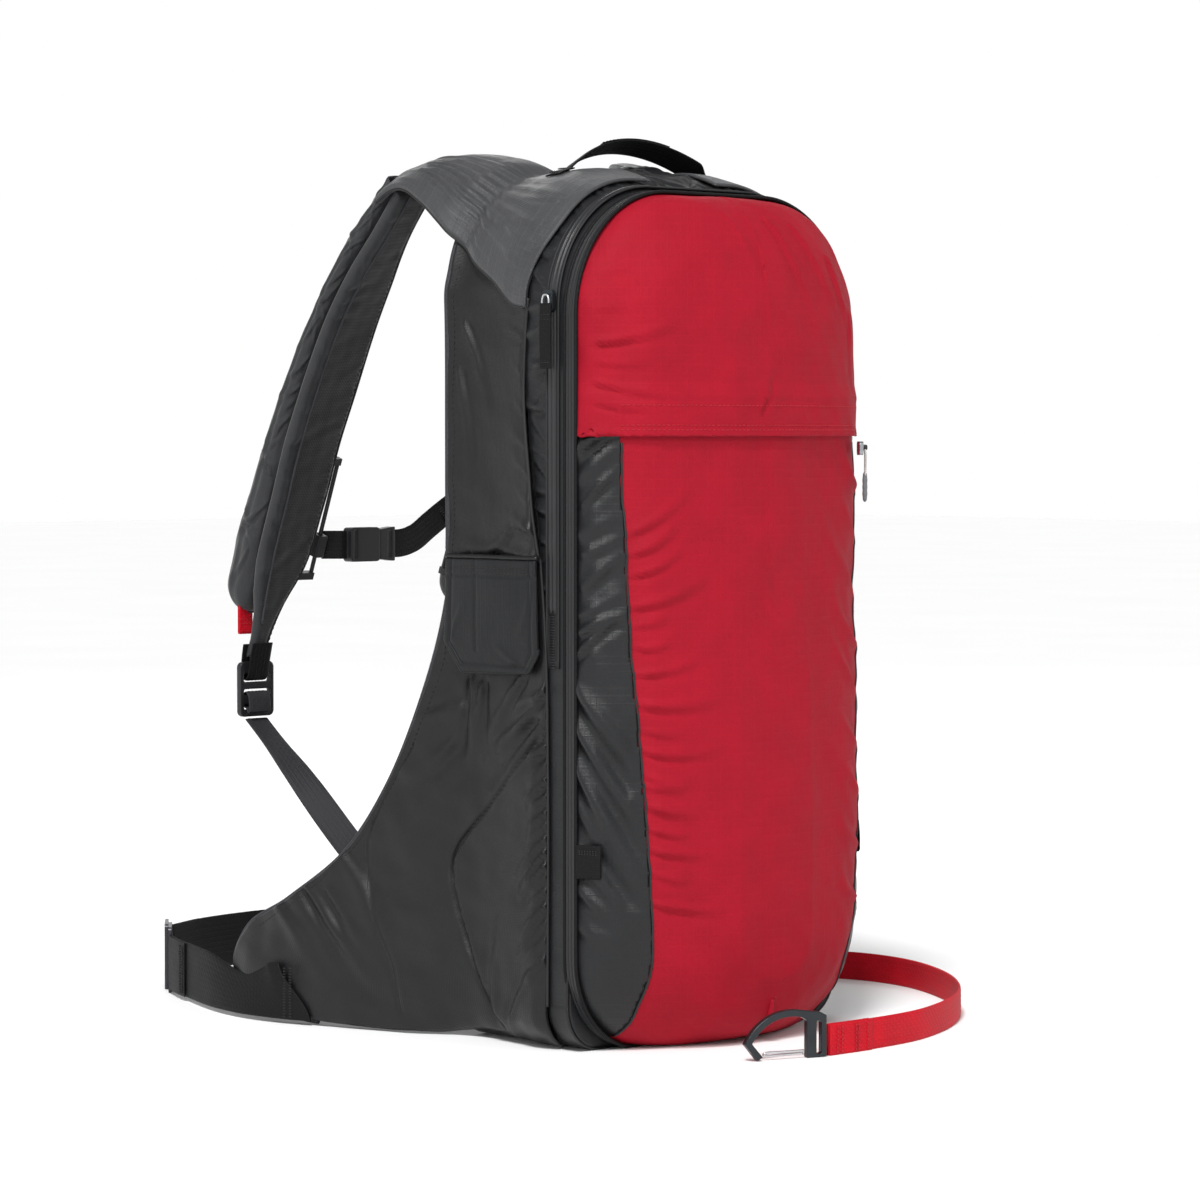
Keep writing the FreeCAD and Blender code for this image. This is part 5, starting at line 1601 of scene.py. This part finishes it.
def strap_path(offset, count):
    """The left strap's line in (y, z), moved off its inner face, and its outward directions."""
    line = smooth_line(STRAP_LINE, count)
    tangent = unit(along(line))
    out = np.stack([-tangent[:, 1], tangent[:, 0]], 1)
    return line + out * offset, out, run_of(line)


def make_straps():
    """Shoulder straps in sleeve cloth, lined with a coarser weave on the wearer's side."""
    stations = 200
    line, out, run = strap_path(STRAP_THICK / 2, stations)
    across = crowded(40)
    heights, inners = zip(*STRAP_INNER)
    inner = hermite(line[:, 1], heights, inners)
    heights, outers = zip(*STRAP_OUTER)
    x = inner[:, None] * (1 - across) + np.interp(line[:, 1], heights, outers)[:, None] * across
    mid = np.stack([x, line[:, :1] + 0 * x, line[:, 1:] + 0 * x], -1)
    s = run[:, None] + 0 * x
    rng = random.Random(81)
    creases = [(t, rng.choice((-70, -112)), t + rng.uniform(-26, 26), -92, rng.uniform(3, 5),
                rng.uniform(0.3, 0.8), 2) for t in np.linspace(20, 320, 26)]
    move = folds(s, x, creases, 0.6) + 0.5 * ripple(s, x, 40, 82) + 0.25 * ripple(s, x, 14, 83)
    for side, sign in SIDES:
        placed, flip = mid * np.array([sign, 1, 1]), FLIP[sign]
        pad = quilt("shoulder_strap_pad_" + side, placed[flip], STRAP_THICK - 0.6, 5.5, -1.2, move[flip])
        faces = len(pad.data.polygons) // 2
        wear(pad, "sleeve")
        pad.data.materials.append(MATERIALS["strap"])
        for polygon in list(pad.data.polygons)[faces:]:
            polygon.material_index = int(polygon.center.x * sign / MM > LINING_EDGE)
        settle(pad, "pack", None, "strap_fabric", "shoulder_strap_" + side)
        parts = []
        off_pad = np.stack([0 * out[:, 0], out[:, 0], out[:, 1]], 1)
        parts.append(wear(sweep("binding", placed[:, 0], off_pad, oval(1.5, 3.2, 14)), "strap"))
        seam = np.stack([np.full(stations, LINING_EDGE * sign), line[:, 0], line[:, 1]], 1)
        seam -= off_pad * STRAP_THICK / 2
        sewn = slice(0, int(0.93 * stations))
        parts.append(wear(tube("seam", seam[sewn], 0.95, hint=off_pad[sewn]), "binding"))
        rows = placed[:, 5] - off_pad * (STRAP_THICK / 2 - 0.3)
        parts.append(wear(stitching("row", rows, -off_pad, 2.6, 1.2, 0.3), "thread"))
        settle(join("strap_trim_" + side, parts), "pack", None, "strap_fabric")
        make_sleeve(side, sign)


def make_sleeve(side, sign):
    """The puffed sleeve on the strap's outer face; it is open at its lower end."""
    base, out, run = strap_path(STRAP_THICK + 0.3, 400)
    kept = (base[:, 1] >= SLEEVE_END - 12) & (base[:, 0] >= 114)
    base, out, run = base[kept], out[kept], run[kept]
    stations = np.linspace(run[0], run[-1] - 1, 190)
    base, out = resample(stations, run, base), unit(resample(stations, run, out))
    heights, swells = zip(*SLEEVE_SWELL)
    # The right sleeve holds no trigger: it is slimmer and almost closed at its end.
    fullness, mouth = (1.0, 0.34) if sign > 0 else (0.68, 0.12)
    swell = hermite(base[:, 1], heights, swells) * fullness
    left = stations[-1] - stations
    close = mouth + (1 - mouth) * np.sqrt(1 - (1 - np.clip(left / 17, 0, 1)) ** 2)
    x0, x1 = SLEEVE_EDGES
    angles = np.arange(SLEEVE_RING) * 2 * math.pi / SLEEVE_RING
    ca, sa = squared(np.cos(angles), 0.72), squared(np.sin(angles), 0.8)
    x = (x0 + x1) / 2 + (x1 - x0) / 2 * ca[None] * close[:, None]
    middle = swell / 2
    o = middle[:, None] + swell[:, None] / 2 * sa[None] * close[:, None]
    points = np.stack([x, base[:, :1] + out[:, :1] * o, base[:, 1:] + out[:, 1:] * o], -1)
    around = np.linspace(0, SLEEVE_ROUND, SLEEVE_RING)[None] + 0 * x
    t = stations[:, None] - stations[0] + 0 * x
    rng = random.Random(91)
    creases = []
    for k in range(26):
        at = 4 + k * 11.4 + rng.uniform(-5, 5)
        start = rng.uniform(66, 76)
        lean = rng.uniform(10, 30) * (1 if rng.random() < 0.75 else -1)
        creases.append((start, at, start - rng.uniform(16, 26), at + lean, rng.uniform(1.8, 3.4),
                        rng.uniform(0.7, 1.7), rng.uniform(-3, 3)))
    move = folds(around, t, creases, 0.6) + 0.75 * ripple(around, t, 60, 92) + 0.2 * ripple(around, t, 16, 93)
    lengthwise = 0.9 * bump(around, 59, 2.0) + 0.5 * bump(around, 50, 2.4)
    soft = smoothstep(left, 2, 22)[:, None] * (sa[None] > -0.85)
    normal = away(points, wrap_v=True)
    points = points + normal * ((move - lengthwise) * soft)[..., None]
    points = points * np.array([sign, 1, 1])
    grid = points if sign < 0 else points[::-1]
    sleeve = shell("strap_sleeve_cloth_" + side, grid, 1.0, wrap_v=True)
    fix_normals(sleeve)
    settle(sleeve, "pack", "sleeve", "strap_fabric", "strap_sleeve_" + side)
    rim = tube("rim", points[-1], 1.0, closed=True, hint=np.array([0, 0.3, -1.0]))
    settle(join("sleeve_rim_" + side, [wear(rim, "binding")]), "pack", None, "strap_fabric")


def make_trigger():
    """A loop of red webbing that hangs out of the left sleeve."""
    low, high = edges_of("trigger_tab")
    x, y = (low[0] + high[0]) / 2, (low[1] + high[1]) / 2
    apart, foot, head = 0.65, low[2] + 4, high[2] - 10
    bight = [(y - apart, high[2] - 1)] + [(y - apart, z) for z in np.linspace(head, foot, 12)]
    bight += [(y - 0.5, low[2] + 1.4), (y, low[2] + 0.75), (y + 0.5, low[2] + 1.4)]
    bight += [(y + apart, z) for z in np.linspace(foot, head, 12)] + [(y + apart, high[2] - 1)]
    parts = [wear(side_bight("loop", x, bight, high[0] - low[0], 1.05, 150), "red_webbing")]
    for z in (low[2] + 8, low[2] + 11, low[2] + 18):
        for way in (-1, 1):
            across = np.linspace(low[0] + 1, high[0] - 1, 14)
            row = np.stack([across, np.full(14, y + way * 1.2), np.full(14, z)], 1)
            seam = stitching("row", row, np.broadcast_to([0, way, 0.0], row.shape), 1.8, 0.6, 0.3)
            parts.append(wear(seam, "red_thread"))
    settle(join("trigger_loop", parts), "trigger", None, "webbing_red", "trigger_tab")


make_straps()
make_trigger()


# ---------------------------------------------------------------- airbag flap


def make_flap():
    """The cover over the airbag pocket: a stiffened panel that hangs from its top edge."""
    low, high = edges_of("airbag_flap")
    z = low[2] + 0.3 + (high[2] - low[2] - 0.6) * crowded(70)
    back = np.interp(z, [238.4, 258, 312], [31, 49, 47])
    front = np.interp(z, [239.4, 253, 312], [-29, -39, -37])
    across = crowded(80)
    y = front[:, None] * (1 - across) + back[:, None] * across
    z = z[:, None] + 0 * y
    lower = np.interp(y, [-39, -30, 32, 49], [0, 1.4, 0, 0])
    z = z + lower * smoothstep(-z, -246, -238.7)
    inset = np.minimum.reduce([y - np.interp(z, [239, 253, 312], [-30, -39, -37]),
                               np.interp(z, [238, 258, 312], [32, 49, 47]) - y, z - 238.5])
    bow = 1.3 * np.sin(math.pi * across)[None] * smoothstep(z, 238, 280)
    mid = np.stack([np.full(y.shape, high[0] - 1.4) - 0.8 * bow, y, z], -1)
    creases = [(-34, 300, -22, 262, 2.6, 0.7, 2), (-20, 246, 0, 258, 2.4, 0.6, 1),
               (40, 262, 28, 282, 2.6, 0.6, 2)]
    seam = 1.0 * np.exp(-((inset - 6.0) / 1.2) ** 2) + 0.7 * np.exp(-((y - 18) / 1.1) ** 2) * (z > 252)
    seam += 0.8 * np.exp(-((z - 301) / 1.0) ** 2)
    move = folds(y, z, creases, 0.5) + 0.35 * ripple(y, z, 30, 101) + 0.4 - seam
    flap = quilt("airbag_flap_cloth", mid, 2.2, 1.6, outer=move)
    settle(flap, "side_flap", "flap", "shell_fabric", "airbag_flap")
    edge = [(-38.7, 256), (-38.8, 253), (-30.2, 240.6), (31.6, 238.6), (48.6, 257.6), (48.6, 262)]
    path = smooth_rows(evenly([(high[0] - 1.6, a, b) for a, b in edge], 160), 7)
    parts = [wear(sweep("trim", path, np.array([-1.0, 0, 0]), oval(1.3, 1.0, 10)), "flap")]
    tree = surface_tree(flap)
    clear = -200
    for height in (306, 303):
        starts = [(clear, y_at, height) for y_at in np.linspace(-31, 43, 60)]
        row, out = lay_on(tree, starts, (1, 0, 0), 0.05)
        parts.append(wear(stitching("row", row, out, 2.2, 1.0, 0.28), "thread"))
    trim = settle(join("airbag_flap_trim", parts), "side_flap", None, "shell_fabric")
    hinge = evenly([(high[0] - 1.6, a, high[2] + 1.0) for a in (-37.5, 47.5)], 60)
    hinge[:, 0] += 1.2 * np.abs(np.linspace(-1, 1, 60)) ** 6
    piping = wear(sweep("piping", hinge, UP, oval(2.3, 1.5, 12)), "stretch")
    settle(join("flap_hinge_piping", [piping]), "pack", None, "shell_fabric")


make_flap()


# ---------------------------------------------------------------- webbing of the harness

def bar_tack(centre, across, out, width, rows=3):
    """Close rows of thread across a strap, where it is sewn down."""
    gap, radius = 1.1, 0.42
    centre, across, out = (np.array(v, float) for v in (centre, across, out))
    step = unit(np.cross(across, out))
    made = []
    for k in range(rows):
        middle = centre + step * (k - (rows - 1) / 2) * gap
        line = middle + across * np.linspace(-width / 2, width / 2, 24)[:, None]
        tack = stitching("tack", line, np.broadcast_to(out, line.shape), 1.5, 0.35, radius)
        made.append(wear(tack, "thread"))
    return made


LOCK_X, TWIST = 103, 0.9
# Webbing round a ladder lock's top bar and round its lower bars, as (y, z).
ADJUSTER_WIDTH, ADJUSTER_THICK, KEEPER_WIDTH, WRAP_WIDTH = 19.6, 1.6, 18.0, 19.2
LOCK_LOOP = [(268.5, 247), (271.4, 236), (273.2, 228), (274.6, 223.4), (276.7, 221.4), (279.9, 223.2),
             (281.0, 229), (280.4, 236), (278.6, 246)]
LOCK_WRAP = [(273.0, 198.4), (275.2, 201.8), (279.6, 203.4), (281.4, 207), (279.6, 210.8), (275.6, 213),
             (272.9, 210.4), (272.0, 206), (271.6, 199.5)]


def make_adjusters():
    """Webbing from the pack's base to the ladder locks, and the loops that hold the locks."""
    for side, sign in SIDES:
        x = -sign * LOCK_X
        ends = [(x, 275.6, 194.2), (x - sign * 0.3, 236, 163), (x - sign * 1.5, 180, 117.5),
                (x - sign * 2.6, 118, 72), (-sign * 106, 66, 34.5)]
        path = smooth_line(ends, 180)
        turn = np.linspace(0, 1, 180)
        angle = TWIST * np.sin(math.pi * turn) ** 2 * smoothstep(turn, 0, 0.2)
        tangent, up = frames_along(path, np.array([0, -1.0, 1.2]))
        out = up * np.cos(angle)[:, None] + np.cross(tangent, up) * np.sin(angle)[:, None] * sign
        strap = wear(webbing("adjuster", path, out, ADJUSTER_WIDTH, ADJUSTER_THICK), "grey_webbing")
        tacks = bar_tack(path[-8] + up[-8] * 0.9, (1, 0, 0), up[-8], 16)
        settle(join("adjuster_webbing_" + side, [strap] + tacks), "pack", None, "webbing_black",
               "adjust_webbing_" + side)

        keeper = wear(side_bight("keeper", x, LOCK_LOOP, KEEPER_WIDTH), "webbing")
        tacks = bar_tack((x, 280.6, 240), (1, 0, 0), (0, 0.98, 0.2), 15)
        settle(join("lock_keeper_" + side, [keeper] + tacks), "pack", None, "webbing_black")
        settle(side_bight("lock_webbing_" + side, x, LOCK_WRAP, WRAP_WIDTH), "lock_" + side, "grey_webbing",
               "webbing_black")


CHEST_HEIGHT, CHEST_WIDTH, CHEST_THICK = 314.1, 19.6, 1.5


def make_chest_strap():
    """The chest strap's two lengths of webbing, with their sewn ends."""
    z = CHEST_HEIGHT
    left = [(-57, 259.9, z), (-53.5, 257.2, z), (-50, 253.9, z), (-46, 250.6, z), (-42.8, 249.6, z)]
    right = [(0.6, 249.1, z), (8, 249.4, z + 0.4), (20, 250.6, z + 3.2), (38, 252.6, z + 12.8),
             (50, 251.6, z + 20.6), (57, 250.0, z + 25.4)]
    out = np.array([0.0, -1.0, 0.0])
    for name, points in (("left", left), ("right", right)):
        path = smooth_line(points, 90)
        parts = [wear(webbing("chest", path, out, CHEST_WIDTH, CHEST_THICK), "webbing")]
        at, tangent = path[-14 if name == "right" else 16], unit(along(path))[-14]
        across = unit(UP - tangent * (UP @ tangent))
        parts += bar_tack(at + out * 0.85, across, out, 15)
        settle(join("chest_webbing_" + name, parts), "chest_strap", None, "webbing_black",
               "sternum_webbing_" + name)


BELT_LEFT = [(-158.5, 136), (-169, 172), (-171.5, 205), (-169, 232), (-160, 268), (-147, 303), (-133, 333)]
BELT_RIGHT = [(159.5, 136), (170, 172), (172.5, 205), (170, 232), (161, 275), (142, 320), (110, 362),
              (62, 392), (0, 404), (-55, 396), (-95.5, 380)]
BELT_LOW, BELT_WIDTH, BELT_THICK, BELT_DOUBLED = 3.0, 38.0, 1.8, 42


def slant_end(belt, path):
    """Cuts the sewn end of the belt on a slant: its top edge ends sooner than its foot."""
    co = vertices_of(belt) / MM
    ahead = unit(path[1] - path[0])
    back = (co - path[0]) @ ahead
    up = smoothstep(co[:, 2], BELT_LOW, BELT_LOW + BELT_WIDTH)
    co += ahead * (up * 24 * (1 - smoothstep(back, 0, 44)))[:, None]
    place_vertices(belt, co * MM)


def make_belt():
    """Hip webbing: sewn to the fins' outer faces, and folded back on itself at the buckle."""
    middle = BELT_LOW + BELT_WIDTH / 2
    for side, route in (("left", BELT_LEFT), ("right", BELT_RIGHT)):
        path = smooth_line([(x, y, middle) for x, y in route], 420 if side == "right" else 220)
        path = path[14:-1] if side == "left" else path[1:-1]
        tangent = unit(along(path))
        out = np.cross(tangent, UP) * (1 if side == "right" else -1)
        run = run_of(path)
        wave = 0.5 * np.sin(run / 31.0) + 0.3 * np.sin(run / 13.0)
        path = path + out * (wave * smoothstep(run, 70, 110) * smoothstep(run[-1] - run, 12, 50))[:, None]
        curl = 0.26 * bump(run, 62, 30) if side == "left" else 0.16 * bump(run, 70, 30)
        path[:, 2] -= curl * BELT_WIDTH / 2
        hint = unit(out + UP * (0.5 * curl)[:, None])
        belt = webbing("belt", path, hint, BELT_WIDTH, BELT_THICK, ribs=10, taper=1 - curl)
        slant_end(belt, path)
        parts = [wear(belt, "webbing")]
        doubled = run > run[-1] - BELT_DOUBLED
        second = path[doubled] + out[doubled] * 1.7
        parts.append(wear(webbing("fold", second, hint[doubled], BELT_WIDTH - 0.4, 1.5, ribs=10), "webbing"))
        fold_at = int(doubled.argmax())
        for k, face in ((16, 1.0), (21, 1.0), (fold_at + 4, 2.7), (fold_at + 9, 2.7)):
            parts += bar_tack(path[k] + out[k] * face, UP, out[k], BELT_WIDTH - 4, rows=2)
        settle(join("hip_belt_webbing_" + side, parts), "pack", None, "webbing_black", "hip_webbing_" + side)


def make_handle():
    """An arch of webbing, folded double in its middle, whose narrow ends are sewn to the top panel."""
    half, rise, lean, width, thick = 64.9, 21.6, math.radians(25), 20, 1.5
    radius = (half**2 + rise**2) / (2 * rise)
    reach = math.asin(half / radius)
    angles = np.linspace(-reach, reach, 160)
    x, up = radius * np.sin(angles), radius * np.cos(angles) - radius + rise
    foot = TOP + 0.9
    path = np.stack([x, 6 + up * math.sin(lean), foot + up * math.cos(lean)], 1)
    out = np.stack([np.sin(angles), np.cos(angles) * math.sin(lean), np.cos(angles) * math.cos(lean)], 1)
    taper = 0.32 + 0.68 * smoothstep(up, 0.3, 7.5)
    parts = [wear(webbing("arch", path, out, width, thick, taper=taper), "webbing")]
    grip = np.abs(x) < 30
    parts.append(wear(webbing("grip", path[grip] + out[grip] * 1.2, out[grip], 19.4, 1.2), "webbing"))
    side = np.cross(out, unit(along(path)))
    for sign in (-1, 1):
        row = path[grip] + out[grip] * 1.85 + side[grip] * sign * 7.6
        parts.append(wear(stitching("row", row, out[grip], 2.4, 1.1, 0.3), "thread"))
    settle(join("handle_webbing", parts), "handle", None, "webbing_black", "grab_handle")
    patches = []
    for side, sign in SIDES:
        tree = surface_tree(bpy.data.objects["yoke_cloth_" + side])
        starts = [(-sign * v, 6.5, ABOVE) for v in np.linspace(62, 76, 40)]
        path, out = lay_on(tree, starts, (0, 0, -1), 1.1)
        patches.append(wear(webbing("patch", smooth_rows(path, 7), out, 14, 1.2), "webbing"))
        for k in (10, 30):
            patches += bar_tack(path[k] + out[k] * 0.8, (0, 1, 0), out[k], 10)
    settle(join("handle_anchors", patches), "pack", None, "webbing_black")


def make_tool_loops():
    """Folded tabs of webbing in the seams of the front section."""
    parts = []
    for sign in (-1, 1):
        turn = math.radians(22) * -sign
        out = np.array([sign * math.cos(turn), sign * math.sin(turn), 0])
        foot = np.array([sign * 123.5, -75.6, 0])
        profile = [(-0.6, 133.6), (-0.55, 124), (-0.5, 116), (-0.2, 113.2), (0.5, 112.7), (1.2, 113.4),
                   (1.5, 117), (1.4, 125), (0.7, 133.6)]
        path = smooth_line([foot + out * (a - 0.4) + UP * z for a, z in profile], 100)
        way = unit(np.cross(along(path), np.cross(UP, out)))
        parts.append(wear(webbing("tab", path, way, 16.6, 1.0), "webbing"))
        parts += bar_tack(foot + out * 1.2 + UP * 129, np.cross(UP, out), out, 13)
    settle(join("tool_tabs", parts), "pack", None, "webbing_black", "tool_loops")


make_adjusters()
make_chest_strap()
make_belt()
make_handle()
make_tool_loops()


# ---------------------------------------------------------------- moulded and cast hardware

def softened(node, name, body, look, slot, voxel=0.6, rounds=4):
    """A CAD part of hard plastic or cast metal with its sharp edges rounded over."""
    copy = new_object(name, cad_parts[node].data.copy())
    remesh = copy.modifiers.new("remesh", "REMESH")
    remesh.mode, remesh.voxel_size = "VOXEL", voxel * MM
    smooth = copy.modifiers.new("round", "SMOOTH")
    smooth.factor, smooth.iterations = 0.5, rounds
    apply_modifiers(copy)
    copy.data.shade_smooth()
    return settle(copy, body, look, slot, node)


def make_gate():
    """The carabiner's gate: one loop of spring wire."""
    place, turn = np.array([-16.2, -175.6, 0]), math.radians(-20)
    ahead = np.array([math.cos(turn), math.sin(turn), 0])
    aside = np.array([-math.sin(turn), math.cos(turn), 0])
    loop = [(-13.4, 0.5, 2.9), (-20, 0.75, 2.95), (-30, 0.8, 2.9), (-38.6, 0.6, 2.9), (-41.0, 0.2, 3.5),
            (-41.0, -0.2, 4.3), (-38.6, -0.6, 4.9), (-30, -0.8, 4.9), (-20, -0.75, 4.85), (-13.4, -0.5, 4.9)]
    path = smooth_line([place + ahead * u + aside * v + UP * z for u, v, z in loop], 120)
    wire = wear(tube("gate_wire", path, 0.78, sides=12, hint=aside), "wire")
    return settle(wire, "gate", None, "wire_steel", "carabiner_gate")


BLACK_ACETAL = ("plastic", "black_plastic")
hook = softened("carabiner_body", "carabiner_hook", "carabiner", "hook", "carabiner_metal", 0.5, 5)
gate = make_gate()
for side, _ in SIDES:
    softened("ladder_lock_" + side, "ladder_lock_shape_" + side, "lock_" + side, *BLACK_ACETAL)
    softened("sternum_clip_" + side, "sternum_clip_shape_" + side, "chest_strap", *BLACK_ACETAL, 0.5)
for part in ("socket", "plug"):
    softened("sternum_buckle_" + part, "sternum_" + part, "chest_strap", *BLACK_ACETAL, 0.5, 3)
